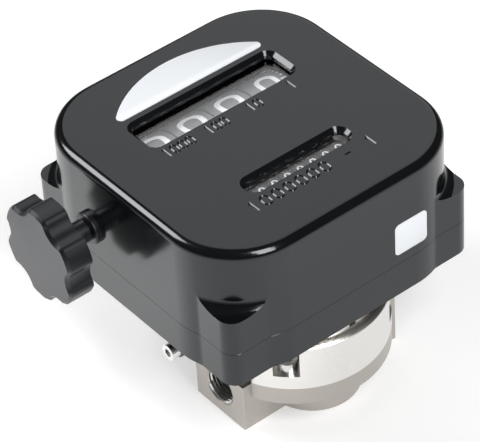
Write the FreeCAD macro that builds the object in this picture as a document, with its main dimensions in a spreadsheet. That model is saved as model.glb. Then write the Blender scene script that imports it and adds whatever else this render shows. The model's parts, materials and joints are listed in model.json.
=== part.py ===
"""Positive displacement flow meter with a mechanical register on top.

Millimetres. The origin is on the meter axis, on the base face. +X runs along the flow,
-Y is the front, from which the register is read, and +Z is up.
"""
import FreeCAD, Part
import math
import os
import Sketcher
from FreeCAD import Placement, Rotation, Vector

doc = FreeCAD.newDocument("flow_meter")
sheet = doc.addObject("Spreadsheet::Sheet", "Sizes")

SIZES = [
    # Meter body: flange, cross bar with the two ports, figure-eight boss
    ("flange_r", 48.0, "outer radius of the flange and the cap"),
    ("flange_z", 18.5, "underside of the flange"),
    ("body_top", 29.0, "top face of the body"),
    ("bar_out", 1.7, "port face past the flange"),
    ("bar_w", 37.8, "width of the cross bar"),
    ("bar_top", 28.5, "top of the cross bar"),
    ("boss_r", 24.5, "radius of each lobe of the boss"),
    ("port_z", 16.15, "height of the port axis"),
    ("tap_r", 9.5, "port bore before the thread, half inch pipe"),
    ("mouth_r", 10.5, "countersunk mouth of a port"),
    ("port_len", 15.0, "depth of the port thread"),
    ("passage_r", 6.0, "passage from a port to the chamber"),
    # Rotors
    ("rotor_gap", 24.8, "between the two rotor axes"),
    ("rotor_len", 20.7, "length of a rotor"),
    ("end_play", 0.1, "rotor end clearance at each side"),
    ("tip_play", 0.12, "rotor tip clearance"),
    ("tooth_slack", 0.2, "taken off each rotor tooth"),
    ("post_r", 4.0, "radius of a rotor post"),
    ("post_sink", 5.0, "post pressed into the chamber floor"),
    ("bush_wall", 1.5, "wall of a rotor bush"),
    ("magnet_r", 1.6, "radius of a drive magnet"),
    ("magnet_len", 5.0, "length of a drive magnet"),
    ("magnet_circle", 11.0, "radius of the circle of drive magnets"),
    ("run_play", 0.05, "radial clearance of a running fit"),
    ("slip", 0.02, "radial clearance of a fixed fit"),
    # Cap, seal and cap screws
    ("seal_r", 1.0, "radius of the seal's section"),
    ("seal_w", 2.6, "width of the seal groove"),
    ("seal_depth", 2.1, "depth of the seal groove"),
    ("cap_len", 26.0, "height of the cap"),
    ("cap_rim", 1.7, "width of the rim on top of the cap"),
    ("edge_break", 0.5, "bevel on the edges of the cap and the body"),
    ("rim_depth", 3.0, "depth of the recess inside the rim"),
    ("well_land", 4.5, "ring screw axis to the follower's well"),
    ("cap_web", 5.0, "web between the chamber and the well"),
    ("pocket_w", 13.3, "width of a screw pocket"),
    ("pocket_deep", 13.5, "depth of a screw pocket from the cap's side"),
    ("pocket_floor", 8.0, "cap thickness under a screw head"),
    ("bolt_edge", 6.8, "cap screw axis from the cap's side"),
    ("bolt_r", 3.0, "cap screw shank"),
    ("bolt_head_r", 5.0, "cap screw head"),
    ("bolt_head_len", 6.0, "cap screw head length"),
    ("bolt_grip", 8.0, "cap screw thread in the body"),
    ("bolt_key", 5.0, "cap screw socket across the flats"),
    ("hole_play", 0.3, "radial clearance of a through hole for a screw"),
    # Adapter ring and clamp screw
    ("ring_gap", 1.8, "adapter ring inside the cap's rim"),
    ("ring_wall", 4.0, "wall of the adapter ring"),
    ("ring_h", 12.4, "height of the adapter ring"),
    ("ring_foot", 3.0, "thickness of the ring's foot"),
    ("foot_land", 6.5, "ring screw axis to the hole in the ring's foot"),
    ("slot_w", 4.0, "width of the slot in the ring"),
    ("slot_h", 3.0, "height of the slot in the ring"),
    ("slot_up", 4.0, "slot centre above the ring's foot"),
    ("foot_in", 4.0, "ring screw axis inside the ring's wall"),
    ("foot_screw_r", 2.0, "ring screw shank"),
    ("foot_head_r", 3.5, "ring screw head"),
    ("foot_head_len", 2.5, "ring screw head length"),
    ("foot_grip", 8.0, "ring screw thread in the cap"),
    ("foot_key", 2.5, "ring screw socket across the flats"),
    ("clamp_drop", 6.3, "clamp screw axis below the register"),
    ("clamp_r", 2.5, "clamp screw shank"),
    ("clamp_head_r", 4.25, "clamp screw head"),
    ("clamp_head_len", 5.0, "clamp screw head length"),
    ("clamp_key", 4.0, "clamp screw socket across the flats"),
    ("clamp_out", 0.9, "clamp screw head past the register's side"),
    ("clamp_boss_r", 5.0, "boss that the clamp screw runs through"),
    # Register housing
    ("reg_y", 29.7, "register centre behind the meter axis"),
    ("reg_w", 156.0, "register width"),
    ("reg_d", 157.0, "register depth"),
    ("reg_corner", 39.3, "radius of the housing's corners"),
    ("reg_edge", 4.7, "radius of the top edge"),
    ("base_h", 19.8, "height of the register base"),
    ("cover_h", 54.4, "height of the register cover"),
    ("wall", 3.5, "housing wall"),
    ("floor_t", 4.0, "floor of the base"),
    ("top_t", 4.0, "top of the cover"),
    ("lug_inset", 2.3, "lug sides behind the housing's sides"),
    ("lug_r", 8.0, "radius of a lug's corner"),
    ("lug_h", 19.9, "lug height above the parting line"),
    ("lug_sweep", 8.0, "hollow between a lug's side and the wall"),
    ("lug_blend", 6.0, "hollow between a lug's top and the wall"),
    ("seam", 0.1, "bevel along the parting line"),
    ("lug_screw", 9.5, "housing screw behind the housing's sides"),
    ("case_screw_r", 2.0, "housing screw shank"),
    ("case_head_r", 3.5, "housing screw head"),
    ("case_head_len", 4.0, "housing screw head length"),
    ("case_sink", 8.0, "depth of the housing screw's counterbore"),
    ("case_grip", 12.0, "housing screw thread in the cover"),
    ("case_key", 3.0, "housing screw socket across the flats"),
    ("spigot_wall", 2.2, "wall of the spigot inside the ring"),
    ("spigot_len", 5.9, "length of the spigot"),
    ("spigot_play", 0.3, "clearance of the spigot in the ring"),
    # Windows
    ("big_d", 20.4, "depth of the large window"),
    ("small_w", 61.0, "width of the small window"),
    ("small_d", 9.6, "depth of the small window"),
    ("small_x", 0.5, "small window right of the middle"),
    ("small_y", 42.6, "small window behind the register's front side"),
    ("win_r", 4.0, "corner radius of the windows"),
    ("win_bevel", 2.0, "bevel round the windows"),
    ("win_inset", 2.3, "end of the large window inside the wheel stack"),
    ("lens_t", 2.0, "thickness of a lens"),
    ("lens_lap", 3.0, "lens past the window's edge"),
    # Reset knob and shaft
    ("knob_y", 27.2, "knob axis from the register's centre"),
    ("knob_r", 27.1, "knob radius over the lobes"),
    ("knob_waist", 23.1, "knob radius in the hollows"),
    ("hollow_r", 9.5, "radius of a hollow in the knob's rim"),
    ("lobe_round", 4.0, "rounding between a lobe and a hollow"),
    ("knob_len", 14.0, "knob thickness"),
    ("knob_bevel", 1.6, "bevel of the knob's front"),
    ("knob_out", 18.0, "knob's back from the housing"),
    ("knob_hub_r", 6.0, "hub behind the knob"),
    ("knob_hub_len", 14.0, "length of the hub"),
    ("knob_wall", 4.0, "knob in front of the shaft's end"),
    ("grub_r", 2.0, "grub screw of the knob"),
    ("grub_key", 2.0, "grub screw socket across the flats"),
    ("shaft_r", 4.0, "reset shaft"),
    ("collar_r", 8.7, "collar of the shaft bush"),
    ("collar_round", 0.8, "rounding of the collar"),
    ("collar_len", 3.0, "length of the collar"),
    ("neck_r", 7.0, "shaft bush in the housing wall"),
    ("neck_len", 8.0, "length of the bush behind the collar"),
    # Number wheels
    ("drum_r", 25.2, "large number wheel"),
    ("gear_room", 31.7, "wheel stack to the register's side, room for the gears"),
    ("drum_gap", 0.8, "gap between large wheels"),
    ("drum_rim", 2.5, "rim of a large wheel"),
    ("drum_web", 3.0, "web of a large wheel"),
    ("drum_hub_r", 8.0, "hub of a large wheel"),
    ("tot_r", 13.0, "small number wheel"),
    ("tot_x", 2.7, "middle small wheel right of the register's middle"),
    ("tot_pitch", 7.9, "pitch of the small wheels"),
    ("tot_gap", 0.6, "gap between small wheels"),
    ("tot_drop", 7.6, "small wheels below the top face"),
    ("tot_shaft_r", 2.5, "shaft of the small wheels"),
    # Magnet follower and reduction gears
    ("follow_gap", 2.0, "follower above the cap's web"),
    ("follow_r", 12.0, "follower disc"),
    ("follow_len", 6.0, "thickness of the follower disc"),
    ("follow_hub_r", 4.0, "hub of the follower disc"),
    ("follow_hub_len", 9.0, "length of the follower's hub"),
    ("pole_r", 2.5, "follower magnet"),
    ("pole_len", 4.5, "length of a follower magnet"),
    ("pole_circle", 8.0, "radius of the circle of follower magnets"),
    ("spindle_r", 2.0, "spindle"),
    ("sleeve_r", 4.5, "bush of the spindle"),
    ("sleeve_flange_r", 7.0, "flange of the spindle bush"),
    ("sleeve_flange_t", 2.0, "thickness of that flange"),
    ("plate_t", 2.0, "gear plate and frame plates"),
    ("train_m", 1.0, "module of the reduction gears"),
    ("last_m", 0.8125, "module of the last reduction"),
    ("idler_rise", 5.0, "idler off the line between its mates"),
    ("bevel_m", 1.0, "module of the bevel gears"),
    ("bevel_face", 4.0, "face width of the bevel gears"),
    ("bevel_back", 2.0, "disc behind the bevel teeth"),
    ("gear_w", 3.0, "face width of a gear"),
    ("gear_step", 4.0, "from one gear level to the next"),
    ("gear_lift", 2.6, "first gear above the gear plate"),
    ("gear_slack", 0.12, "taken off each small gear tooth"),
    ("axial_play", 0.1, "gap under a gear"),
    ("gear_wall", 0.6, "counter gears from the right frame plate"),
    ("idler_head", 0.5, "head of the idler stud and its play"),
    ("last_back", 6.5, "last gears from the bridge"),
    ("stud_r", 1.5, "gear stud"),
    ("sleeve_hub_r", 2.6, "hub of a compound gear"),
    ("train_out", 3.7, "wheel stack to the last vertical gear axis"),
    ("frame_gap", 2.3, "wheel stack to the left frame plate"),
    ("frame_reach", 4.3, "wheel stack to the right frame plate"),
    ("frame_half", 13.0, "half width of a frame plate"),
    ("frame_crown", 12.0, "frame plates above the reset shaft"),
    ("frame_tip", 5.0, "half width of a frame plate's top"),
    ("frame_knee", 22.0, "right plate's knee below the reset shaft"),
    ("tot_crown", 9.0, "right plate above the counter shaft"),
    ("tot_side", 12.0, "right plate beside the counter shaft"),
    ("arbor_side", 10.0, "right plate beside the arbor"),
    ("arbor_drop", 3.8, "right plate below the arbor"),
    ("frame_foot", 10.0, "length of a frame plate's foot"),
    ("bridge_out", 13.4, "right frame plate to the bridge"),
    ("pillar_r", 2.5, "pillar between frame and bridge"),
    ("pillar_dy", 17.2, "pillar beside the counter shaft"),
    ("ear", 5.0, "plate above and below a pillar"),
    ("ear_out", 6.0, "right plate past a pillar"),
    ("nose", 6.0, "half width of the bridge's lower end"),
    ("nose_drop", 5.0, "bridge below the arbor"),
    ("tot_foot", 9.0, "half width of the counter's left plate"),
    ("tot_tip", 4.0, "half width of that plate's top"),
    ("tot_peak", 8.0, "that plate above the counter shaft"),
    ("counter_gap", 3.0, "small wheels to that plate"),
    ("plate_edge", 3.0, "gear plate past the feet on it"),
    ("plate_front", 16.0, "gear plate in front of the counter's foot"),
    ("plate_rear", 10.0, "gear plate behind the frame plates"),
    ("plate_corner", 5.0, "small screw from the gear plate's corner"),
    ("plate_screw_r", 1.5, "small screw shank"),
    ("plate_head_r", 2.8, "small screw head"),
    ("plate_head_len", 2.0, "small screw head length"),
    ("plate_grip", 2.5, "small screw in the floor"),
    ("plate_key", 2.0, "small screw socket across the flats"),
]

# Tooth counts and other whole numbers
ROTOR_TEETH = 8
PINION_TEETH, GEAR_TEETH = 8, 40
LAST_PINION_TEETH, LAST_GEAR_TEETH = 8, 32
BEVEL_DRIVER_TEETH, BEVEL_DRIVEN_TEETH = 12, 24
MATE_TEETH, IDLER_TEETH = 20, 30
KNOB_LOBES = 6
# The ring screws stand between the screw pockets and clear of the clamp screw
FOOT_TURN = 20
DRUMS = ("thousands", "hundreds", "tens", "units")
COUNTER_WHEELS = 7

# Tooth form shared by the gears: a steep flank keeps eight teeth free of undercut
PRESSURE = math.radians(30)
ADDENDUM, DEDENDUM = 0.9, 1.15

for row, (alias, value, note) in enumerate(SIZES, 1):
    sheet.set("A%d" % row, note)
    sheet.set("B%d" % row, str(value))
    sheet.setAlias("B%d" % row, alias)
doc.recompute()


class Size:
    """A number from the sheet, kept with the expression that gives it."""

    def __init__(self, value, text):
        self.value, self.text = value, text

    def __float__(self):
        return self.value

    def __add__(self, other):
        return Size(self.value + float(other), "(%s + %s)" % (self.text, text_of(other)))

    def __sub__(self, other):
        return Size(self.value - float(other), "(%s - %s)" % (self.text, text_of(other)))

    def __mul__(self, other):
        return Size(self.value * float(other), "(%s * %s)" % (self.text, text_of(other)))

    def __truediv__(self, other):
        return Size(self.value / float(other), "(%s / %s)" % (self.text, text_of(other)))

    def __neg__(self):
        return Size(-self.value, "(0 - %s)" % self.text)

    __radd__, __rmul__ = __add__, __mul__

    def __rsub__(self, other):
        return -self + other


def text_of(size):
    return size.text if isinstance(size, Size) else repr(float(size))


class Sheet:
    """Reads the sizes by name: S.wall."""

    def __getattr__(self, alias):
        return Size(float(sheet.get(alias)), "Sizes." + alias)


S = Sheet()
NODES = {}

UP = Rotation()
DOWN = Rotation(Vector(1, 0, 0), 180)
# Turns Z to X, X to Y and Y to Z, for what lies along X
ALONG = Rotation(Vector(1, 1, 1), 120)
BACKWARD = Rotation(Vector(0, 1, 0), -90)
FORWARD = Rotation(Vector(1, 0, 0), 90)


def bind(obj, **sizes):
    for name, size in sizes.items():
        setattr(obj, name, float(size))
        if isinstance(size, Size):
            obj.setExpression(name, size.text)
    return obj


def place(obj, x=0, y=0, z=0, turn=UP):
    obj.Placement = Placement(Vector(float(x), float(y), float(z)), turn)
    for axis, size in zip("xyz", (x, y, z)):
        if isinstance(size, Size):
            obj.setExpression("Placement.Base." + axis, size.text)
    return obj


def node(label, obj):
    """Names a finished piece."""
    obj.Label = label
    NODES[label] = obj
    return obj


# Plain solids and booleans

def cyl(name, r, length, x=0, y=0, z=0, turn=UP):
    return place(bind(doc.addObject("Part::Cylinder", name), Radius=r, Height=length), x, y, z, turn)


def box(name, length, width, height, x=0, y=0, z=0):
    solid = doc.addObject("Part::Box", name)
    return place(bind(solid, Length=length, Width=width, Height=height), x, y, z)


def hexagon(name, key, length, z=0):
    prism = doc.addObject("Part::Prism", name)
    prism.Polygon = 6
    return place(bind(prism, Circumradius=key / math.sqrt(3), Height=length), z=z)


def fuse(name, *shapes):
    obj = doc.addObject("Part::MultiFuse", name)
    obj.Shapes = list(shapes)
    return obj


def cut(name, base, *tools):
    obj = doc.addObject("Part::Cut", name)
    obj.Base = base
    obj.Tool = tools[0] if len(tools) == 1 else fuse(name + "_tools", *tools)
    return obj


def group(name, shapes):
    obj = doc.addObject("Part::Compound", name)
    obj.Links = list(shapes)
    return obj


def made(name, shape):
    """A piece whose shape is worked out here, such as a gear."""
    obj = doc.addObject("Part::Feature", name)
    obj.Shape = shape
    return obj


def socket_screw(name, shank_r, length, head_r, head_len, key, x, y, z, turn):
    """A socket head screw: the head's underside at x, y, z, the shank behind it."""
    blank = fuse(name + "_blank", cyl(name + "_shank", shank_r, length, z=-length),
                 cyl(name + "_head", head_r, head_len))
    socket = hexagon(name + "_socket", key, head_len, z=head_len / 2)
    return place(cut(name, blank, socket), x, y, z, turn)


# Bodies made of sketches

def origin(body, role):
    return next(f for f in body.Origin.OriginFeatures if f.Role == role)


def start(name):
    return doc.addObject("PartDesign::Body", name)


def sketch(body, name, role="XY_Plane", lift=0, spin=0):
    s = body.newObject("Sketcher::SketchObject", name)
    s.AttachmentSupport = [(origin(body, role), "")]
    s.MapMode = "FlatFace"
    s.AttachmentOffset = Placement(Vector(0, 0, float(lift)), Rotation(Vector(0, 0, 1), spin))
    if isinstance(lift, Size):
        s.setExpression("AttachmentOffset.Base.z", lift.text)
    return s


def datum(s, kind, size, *where):
    index = s.addConstraint(Sketcher.Constraint(kind, *where, float(size)))
    if isinstance(size, Size):
        s.setExpression("Constraints[%d]" % index, size.text)


def pin(s, geometry, point, x, y):
    """Fixes one point of a sketch from the sketch's origin."""
    for kind, size, axis in (("DistanceX", x, -2), ("DistanceY", y, -1)):
        if not isinstance(size, Size) and float(size) == 0:
            s.addConstraint(Sketcher.Constraint("PointOnObject", geometry, point, axis))
        else:
            datum(s, kind, size, -1, 1, geometry, point)


def circle(s, r, x=0, y=0):
    centre = Vector(float(x), float(y), 0)
    g = s.addGeometry(Part.Circle(centre, Vector(0, 0, 1), float(r)), False)
    datum(s, "Radius", r, g)
    pin(s, g, 3, x, y)


def outline(s, points):
    """A closed outline of straight lines through the points."""
    first, count = s.GeometryCount, len(points)
    corners = [Vector(float(x), float(y), 0) for x, y in points]
    for k in range(count):
        s.addGeometry(Part.LineSegment(corners[k], corners[(k + 1) % count]), False)
    for k in range(count):
        s.addConstraint(Sketcher.Constraint("Coincident", first + k, 2, first + (k + 1) % count, 1))
    for k, (x, y) in enumerate(points):
        pin(s, first + k, 1, x, y)


def rectangle(s, w, d, x=0, y=0):
    outline(s, [(x - w / 2, y - d / 2), (x + w / 2, y - d / 2),
                (x + w / 2, y + d / 2), (x - w / 2, y + d / 2)])


def rounded(s, w, d, r, x=0, y=0):
    """A rectangle with round corners."""
    dx, dy = w / 2 - r, d / 2 - r
    centres = [(x + dx, y - dy), (x + dx, y + dy), (x - dx, y + dy), (x - dx, y - dy)]
    first = s.GeometryCount
    radius = float(r)
    for k, (cx, cy) in enumerate(centres):
        a = Vector(float(cx), float(cy), 0)
        out = Rotation(Vector(0, 0, 1), 90 * k - 90).multVec(Vector(radius, 0, 0))
        back = centres[k - 1]
        b = Vector(float(back[0]), float(back[1]), 0)
        s.addGeometry(Part.LineSegment(b + out, a + out), False)
        ring = Part.Circle(a, Vector(0, 0, 1), radius)
        s.addGeometry(Part.ArcOfCircle(ring, math.radians(90 * k - 90), math.radians(90 * k)), False)
    for k, (cx, cy) in enumerate(centres):
        line, arc, ahead = first + 2 * k, first + 2 * k + 1, first + (2 * k + 2) % 8
        s.addConstraint(Sketcher.Constraint("Tangent", line, 2, arc, 1))
        s.addConstraint(Sketcher.Constraint("Tangent", arc, 2, ahead, 1))
        datum(s, "Radius", r, arc)
        pin(s, arc, 3, cx, cy)


def finish(body, feature):
    body.Tip = feature
    doc.recompute()
    if "Invalid" in feature.State or "Error" in feature.State or feature.Shape.isNull():
        raise ValueError("%s failed in %s" % (feature.Name, body.Name))
    return feature


def pad(body, s, length, name, reverse=False):
    f = body.newObject("PartDesign::Pad", name)
    f.Profile = s
    f.Reversed = reverse
    return finish(body, bind(f, Length=length))


def pocket(body, s, length, name, reverse=False):
    before = body.Tip.Shape.Volume
    f = body.newObject("PartDesign::Pocket", name)
    f.Profile = s
    f.Reversed = reverse
    finish(body, bind(f, Length=length))
    if f.Shape.Volume > before - 1e-6:
        raise ValueError("%s cuts nothing" % name)
    return f


def revolve(body, s, name):
    f = body.newObject("PartDesign::Revolution", name)
    f.Profile = s
    f.ReferenceAxis = (s, ["V_Axis"])
    f.Angle = 360
    return finish(body, f)


def polar(body, feature, s, count, name):
    f = body.newObject("PartDesign::PolarPattern", name)
    f.Originals = [feature]
    f.Axis = (s, ["N_Axis"])
    f.Angle = 360
    f.Occurrences = count
    return finish(body, f)


def mirror(body, feature, role, name):
    f = body.newObject("PartDesign::Mirrored", name)
    f.Originals = [feature]
    f.MirrorPlane = (origin(body, role), [""])
    return finish(body, f)


def edges(body, test):
    shape = body.Tip.Shape
    return ["Edge%d" % k for k, e in enumerate(shape.Edges, 1) if test(e)]


def ease(body, kind, names, size, name):
    """Rounds (Fillet) or bevels (Chamfer) the named edges."""
    base = body.Tip
    f = body.newObject("PartDesign::" + kind, name)
    f.Base = (base, names)
    return finish(body, bind(f, **{"Radius" if kind == "Fillet" else "Size": size}))


def upright(edge):
    """True for a straight edge along Z."""
    if len(edge.Vertexes) != 2 or not isinstance(edge.Curve, Part.Line):
        return False
    a, b = (v.Point for v in edge.Vertexes)
    return math.hypot(a.x - b.x, a.y - b.y) < 1e-6


def near(value, size):
    return abs(value - float(size)) < 1e-4


# Gears

def involute(angle):
    return math.tan(angle) - angle


def half_angle(r, teeth, module, slack):
    """Half the angle that a tooth takes at radius r."""
    pitch_r = teeth * module / 2
    base_r = pitch_r * math.cos(PRESSURE)
    angle = math.acos(min(1.0, base_r / r))
    return math.pi / (2 * teeth) - slack / (2 * pitch_r) + involute(PRESSURE) - involute(angle)


def flank(teeth, module, slack, steps):
    """Radius and half angle up one side of a tooth, from the root to the tip."""
    pitch_r = teeth * module / 2
    base_r = pitch_r * math.cos(PRESSURE)
    root, tip = pitch_r - DEDENDUM * module, pitch_r + ADDENDUM * module
    low = max(root, base_r)
    radii = [low + (tip - low) * k / steps for k in range(steps + 1)]
    points = [(r, half_angle(r, teeth, module, slack)) for r in radii]
    return points if root >= base_r else [(root, points[0][1])] + points


def gear_solid(teeth, module, slack, width, z=0.0, phase=0.0, steps=1):
    """A spur gear round Z with the middle of one tooth at the phase angle."""
    side = flank(teeth, module, slack, steps)
    points = []
    for k in range(teeth):
        middle = phase + 2 * math.pi * k / teeth
        points += [Vector(r * math.cos(middle - h), r * math.sin(middle - h), z) for r, h in side]
        points += [Vector(r * math.cos(middle + h), r * math.sin(middle + h), z)
                   for r, h in reversed(side)]
    return Part.Face(Part.makePolygon(points + points[:1])).extrude(Vector(0, 0, width))


def cone_tooth(corners, angle, scale):
    """A tooth that tapers to the apex: corners are radius, height, half thickness."""
    def point(r, z, side):
        return Vector(r * math.cos(angle) - side * math.sin(angle),
                      r * math.sin(angle) + side * math.cos(angle), z)
    (r0, z0, t0), (r1, z1, t1) = corners
    outer = [point(r0, z0, -t0), point(r1, z1, -t1), point(r1, z1, t1), point(r0, z0, t0)]
    inner = [p * scale for p in outer]
    wires = [Part.makePolygon(ring + ring[:1]) for ring in (outer, inner)]
    return Part.makeLoft(wires, True, True)


def bevel_solid(teeth, mate, module, slack, face, back, phase):
    """A straight bevel gear below its apex, which is at the origin."""
    tilt = math.atan2(teeth, mate)
    reach = module * math.hypot(teeth, mate) / 2
    round_teeth = teeth / math.cos(tilt)
    round_r = round_teeth * module / 2
    scale = (reach - face) / reach

    def spot(h):
        return (reach * math.sin(tilt) + h * math.cos(tilt),
                -reach * math.cos(tilt) + h * math.sin(tilt))

    root_r, root_z = spot(-DEDENDUM * module)
    low, high = -DEDENDUM * module - 0.2, ADDENDUM * module
    base_h = round_r * (math.cos(PRESSURE) - 1)
    thick = [(round_r + h) * half_angle(round_r + h, round_teeth, module, slack)
             for h in (max(low, base_h), high)]
    corners = [spot(low) + (thick[0],), spot(high) + (thick[1],)]
    profile = [(0, scale * root_z), (scale * root_r, scale * root_z), (root_r, root_z),
               (root_r, root_z - back), (0, root_z - back)]
    points = [Vector(r, 0, z) for r, z in profile]
    solid = Part.Face(Part.makePolygon(points + points[:1])).revolve(Vector(), Vector(0, 0, 1), 360)
    teeth_solids = [cone_tooth(corners, phase + 2 * math.pi * k / teeth, scale) for k in range(teeth)]
    return solid.multiFuse(teeth_solids)


def rod(r, z0, z1):
    return Part.makeCylinder(r, z1 - z0, Vector(0, 0, z0))


def heading(a, b):
    """Angle of the way from point a to point b."""
    return math.atan2(b[1] - a[1], b[0] - a[0])


# Heights and axes that the pieces share

cap_top = S.body_top + S.cap_len
pocket_z = S.body_top + S.pocket_floor
well_z = S.body_top + S.cap_web
ring_z = cap_top - S.rim_depth
reg_z = ring_z + S.ring_h
parting = reg_z + S.base_h
reg_top = parting + S.cover_h
floor_z = reg_z + S.floor_t
deck = floor_z + S.plate_t
rotor_y = S.rotor_gap / 2
chamber_z = S.body_top - S.rotor_len - 2 * S.end_play
rotor_m = float(S.rotor_gap) / ROTOR_TEETH
rotor_tip = rotor_m * (ROTOR_TEETH / 2 + ADDENDUM)
bar_half = S.flange_r + S.bar_out
pocket_in = S.flange_r - S.pocket_deep
bolt_circle = S.flange_r - S.bolt_edge
ring_r = S.flange_r - S.cap_rim - S.ring_gap
foot_circle = ring_r - S.ring_wall - S.foot_in
ring_in = foot_circle - S.foot_land
well_r = foot_circle - S.well_land
# The seal runs half way between the chamber and the cap screws
chamber_r = S.tip_play + rotor_tip
seal_circle = (rotor_y + chamber_r + bolt_circle - S.bolt_r) / 2
clamp_z = reg_z - S.clamp_drop
lens_z = reg_top - S.top_t - S.lens_t
# The large wheels fill the room between the lens and the gear plate
drum_y = S.reg_y + S.knob_y
drum_z = (lens_z + deck) / 2
small_row = S.small_y - S.reg_d / 2
tot_y = S.reg_y + small_row
tot_z = reg_top - S.tot_drop - S.tot_r
arbor_z = tot_z - S.last_m * ((LAST_PINION_TEETH + LAST_GEAR_TEETH) / 2)
side = S.reg_w / 2
stack = side - S.gear_room
drum_pitch = (stack * 2 + S.drum_gap) / len(DRUMS)
big_w = (stack - S.win_inset) * 2
lug_x = S.reg_w / 2 - S.lug_screw
lug_y = S.reg_d / 2 - S.lug_screw
CORNERS = [(1, 1), (-1, 1), (-1, -1), (1, -1)]

# Meter body

b = start("meter_body")
s = sketch(b, "boss_sketch")
circle(s, S.boss_r, 0, rotor_y)
lobe = pad(b, s, S.body_top - 1, "boss_lobe")
mirror(b, lobe, "XZ_Plane", "boss_pair")
s = sketch(b, "bar_sketch")
rectangle(s, bar_half * 2, S.bar_w)
pad(b, s, S.bar_top, "bar")
bar_ends = edges(b, lambda e: upright(e) and near(abs(e.Vertexes[0].X), bar_half))
ease(b, "Chamfer", bar_ends, S.edge_break, "bar_bevel")
s = sketch(b, "flange_sketch", lift=S.flange_z)
circle(s, S.flange_r)
pad(b, s, S.body_top - S.flange_z, "flange")


def turned_edge(r, z):
    """Picks the round edges of radius r, or arcs of them, at height z."""
    return lambda e: (isinstance(e.Curve, Part.Circle) and near(e.Curve.Radius, r)
                      and near(e.BoundBox.ZMin, z) and near(e.BoundBox.ZMax, z))


ease(b, "Chamfer", edges(b, turned_edge(S.flange_r, S.flange_z)), S.edge_break, "flange_bevel")
s = sketch(b, "chamber_sketch", lift=S.body_top)
circle(s, chamber_r, 0, rotor_y)
room = pocket(b, s, S.body_top - chamber_z, "chamber_lobe")
mirror(b, room, "XZ_Plane", "chamber")
s = sketch(b, "post_sketch", lift=chamber_z)
circle(s, S.post_r + S.slip, 0, rotor_y)
seat = pocket(b, s, S.post_sink, "post_seat")
mirror(b, seat, "XZ_Plane", "post_seats")
s = sketch(b, "port_sketch", "YZ_Plane", bar_half)
circle(s, S.tap_r, 0, S.port_z)
port = pocket(b, s, S.port_len, "port")
mirror(b, port, "YZ_Plane", "ports")
mouths = edges(b, lambda e: isinstance(e.Curve, Part.Circle) and near(e.Curve.Radius, S.tap_r)
               and near(abs(e.Curve.Center.x), bar_half))
ease(b, "Chamfer", mouths, S.mouth_r - S.tap_r, "port_mouths")
s = sketch(b, "passage_sketch", "YZ_Plane", bar_half)
circle(s, S.passage_r, 0, S.port_z)
pocket(b, s, bar_half * 2, "passage")
s = sketch(b, "bolt_sketch", lift=S.body_top, spin=45)
circle(s, S.bolt_r + S.run_play, bolt_circle, 0)
hole = pocket(b, s, S.bolt_grip + 1, "bolt_hole")
polar(b, hole, s, 4, "bolt_holes")
s = sketch(b, "seal_sketch", lift=S.body_top)
circle(s, seal_circle + S.seal_w / 2)
circle(s, seal_circle - S.seal_w / 2)
pocket(b, s, S.seal_depth, "seal_groove")
node("meter_body", b)

# Rotor posts and rotors

posts = [cyl("post_%d" % k, S.post_r, S.post_sink + S.rotor_len, 0, y, chamber_z - S.post_sink)
         for k, y in enumerate((rotor_y, -rotor_y))]
node("rotor_posts", group("posts", posts))

bush_r = S.post_r + S.run_play + S.bush_wall
rotor_z = chamber_z + S.end_play
ROTORS = (("a", rotor_y, -math.pi / 2), ("b", -rotor_y, math.pi / 2 + math.pi / ROTOR_TEETH))
for name, y, phase in ROTORS:
    blank = made("rotor_blank_" + name, gear_solid(ROTOR_TEETH, rotor_m, float(S.tooth_slack),
                                                   float(S.rotor_len), phase=phase, steps=4))
    tools = [cyl("rotor_bore_" + name, bush_r + S.slip, S.rotor_len)]
    if name == "a":
        pits = []
        for k in range(4):
            a = phase + k * math.pi / 2
            at = (S.magnet_circle * math.cos(a), S.magnet_circle * math.sin(a))
            tools.append(cyl("magnet_pit_%d" % k, S.magnet_r + S.slip, S.magnet_len, *at,
                             S.rotor_len - S.magnet_len))
            pits.append(cyl("magnet_%d" % k, S.magnet_r, S.magnet_len, *at))
        node("drive_magnets", place(group("magnets", pits), 0, y, rotor_z + S.rotor_len - S.magnet_len))
    node("rotor_" + name, place(cut("rotor_%s_cut" % name, blank, *tools), 0, y, rotor_z))
    bush = cut("bush_%s_cut" % name, cyl("bush_out_" + name, bush_r, S.rotor_len),
               cyl("bush_in_" + name, S.post_r + S.run_play, S.rotor_len))
    node("rotor_bush_" + name, place(bush, 0, y, rotor_z))

# Cap, seal and cap screws

seal = bind(doc.addObject("Part::Torus", "seal"), Radius1=seal_circle, Radius2=S.seal_r)
node("cap_seal", place(seal, z=S.body_top - S.seal_depth / 2))

b = start("meter_cap")
s = sketch(b, "cap_profile", "XZ_Plane")
outline(s, [(0, S.body_top), (S.flange_r, S.body_top), (S.flange_r, cap_top),
            (S.flange_r - S.cap_rim, cap_top), (S.flange_r - S.cap_rim, ring_z),
            (well_r, ring_z), (well_r, well_z), (0, well_z)])
revolve(b, s, "cap_turned")
ease(b, "Chamfer", edges(b, turned_edge(S.flange_r, cap_top)), S.edge_break, "cap_bevel")
s = sketch(b, "pocket_sketch", lift=pocket_z, spin=45)
far = S.flange_r + 2
outline(s, [(pocket_in, -S.pocket_w / 2), (far, -S.pocket_w / 2),
            (far, S.pocket_w / 2), (pocket_in, S.pocket_w / 2)])
notch = pocket(b, s, cap_top - pocket_z + 1, "screw_pocket", reverse=True)
polar(b, notch, s, 4, "screw_pockets")
s = sketch(b, "cap_bolt_sketch", lift=pocket_z, spin=45)
circle(s, S.bolt_r + S.hole_play, bolt_circle, 0)
hole = pocket(b, s, S.pocket_floor + 1, "cap_bolt_hole")
polar(b, hole, s, 4, "cap_bolt_holes")
s = sketch(b, "cap_foot_sketch", lift=ring_z, spin=FOOT_TURN)
circle(s, S.foot_screw_r + S.run_play, foot_circle, 0)
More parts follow.
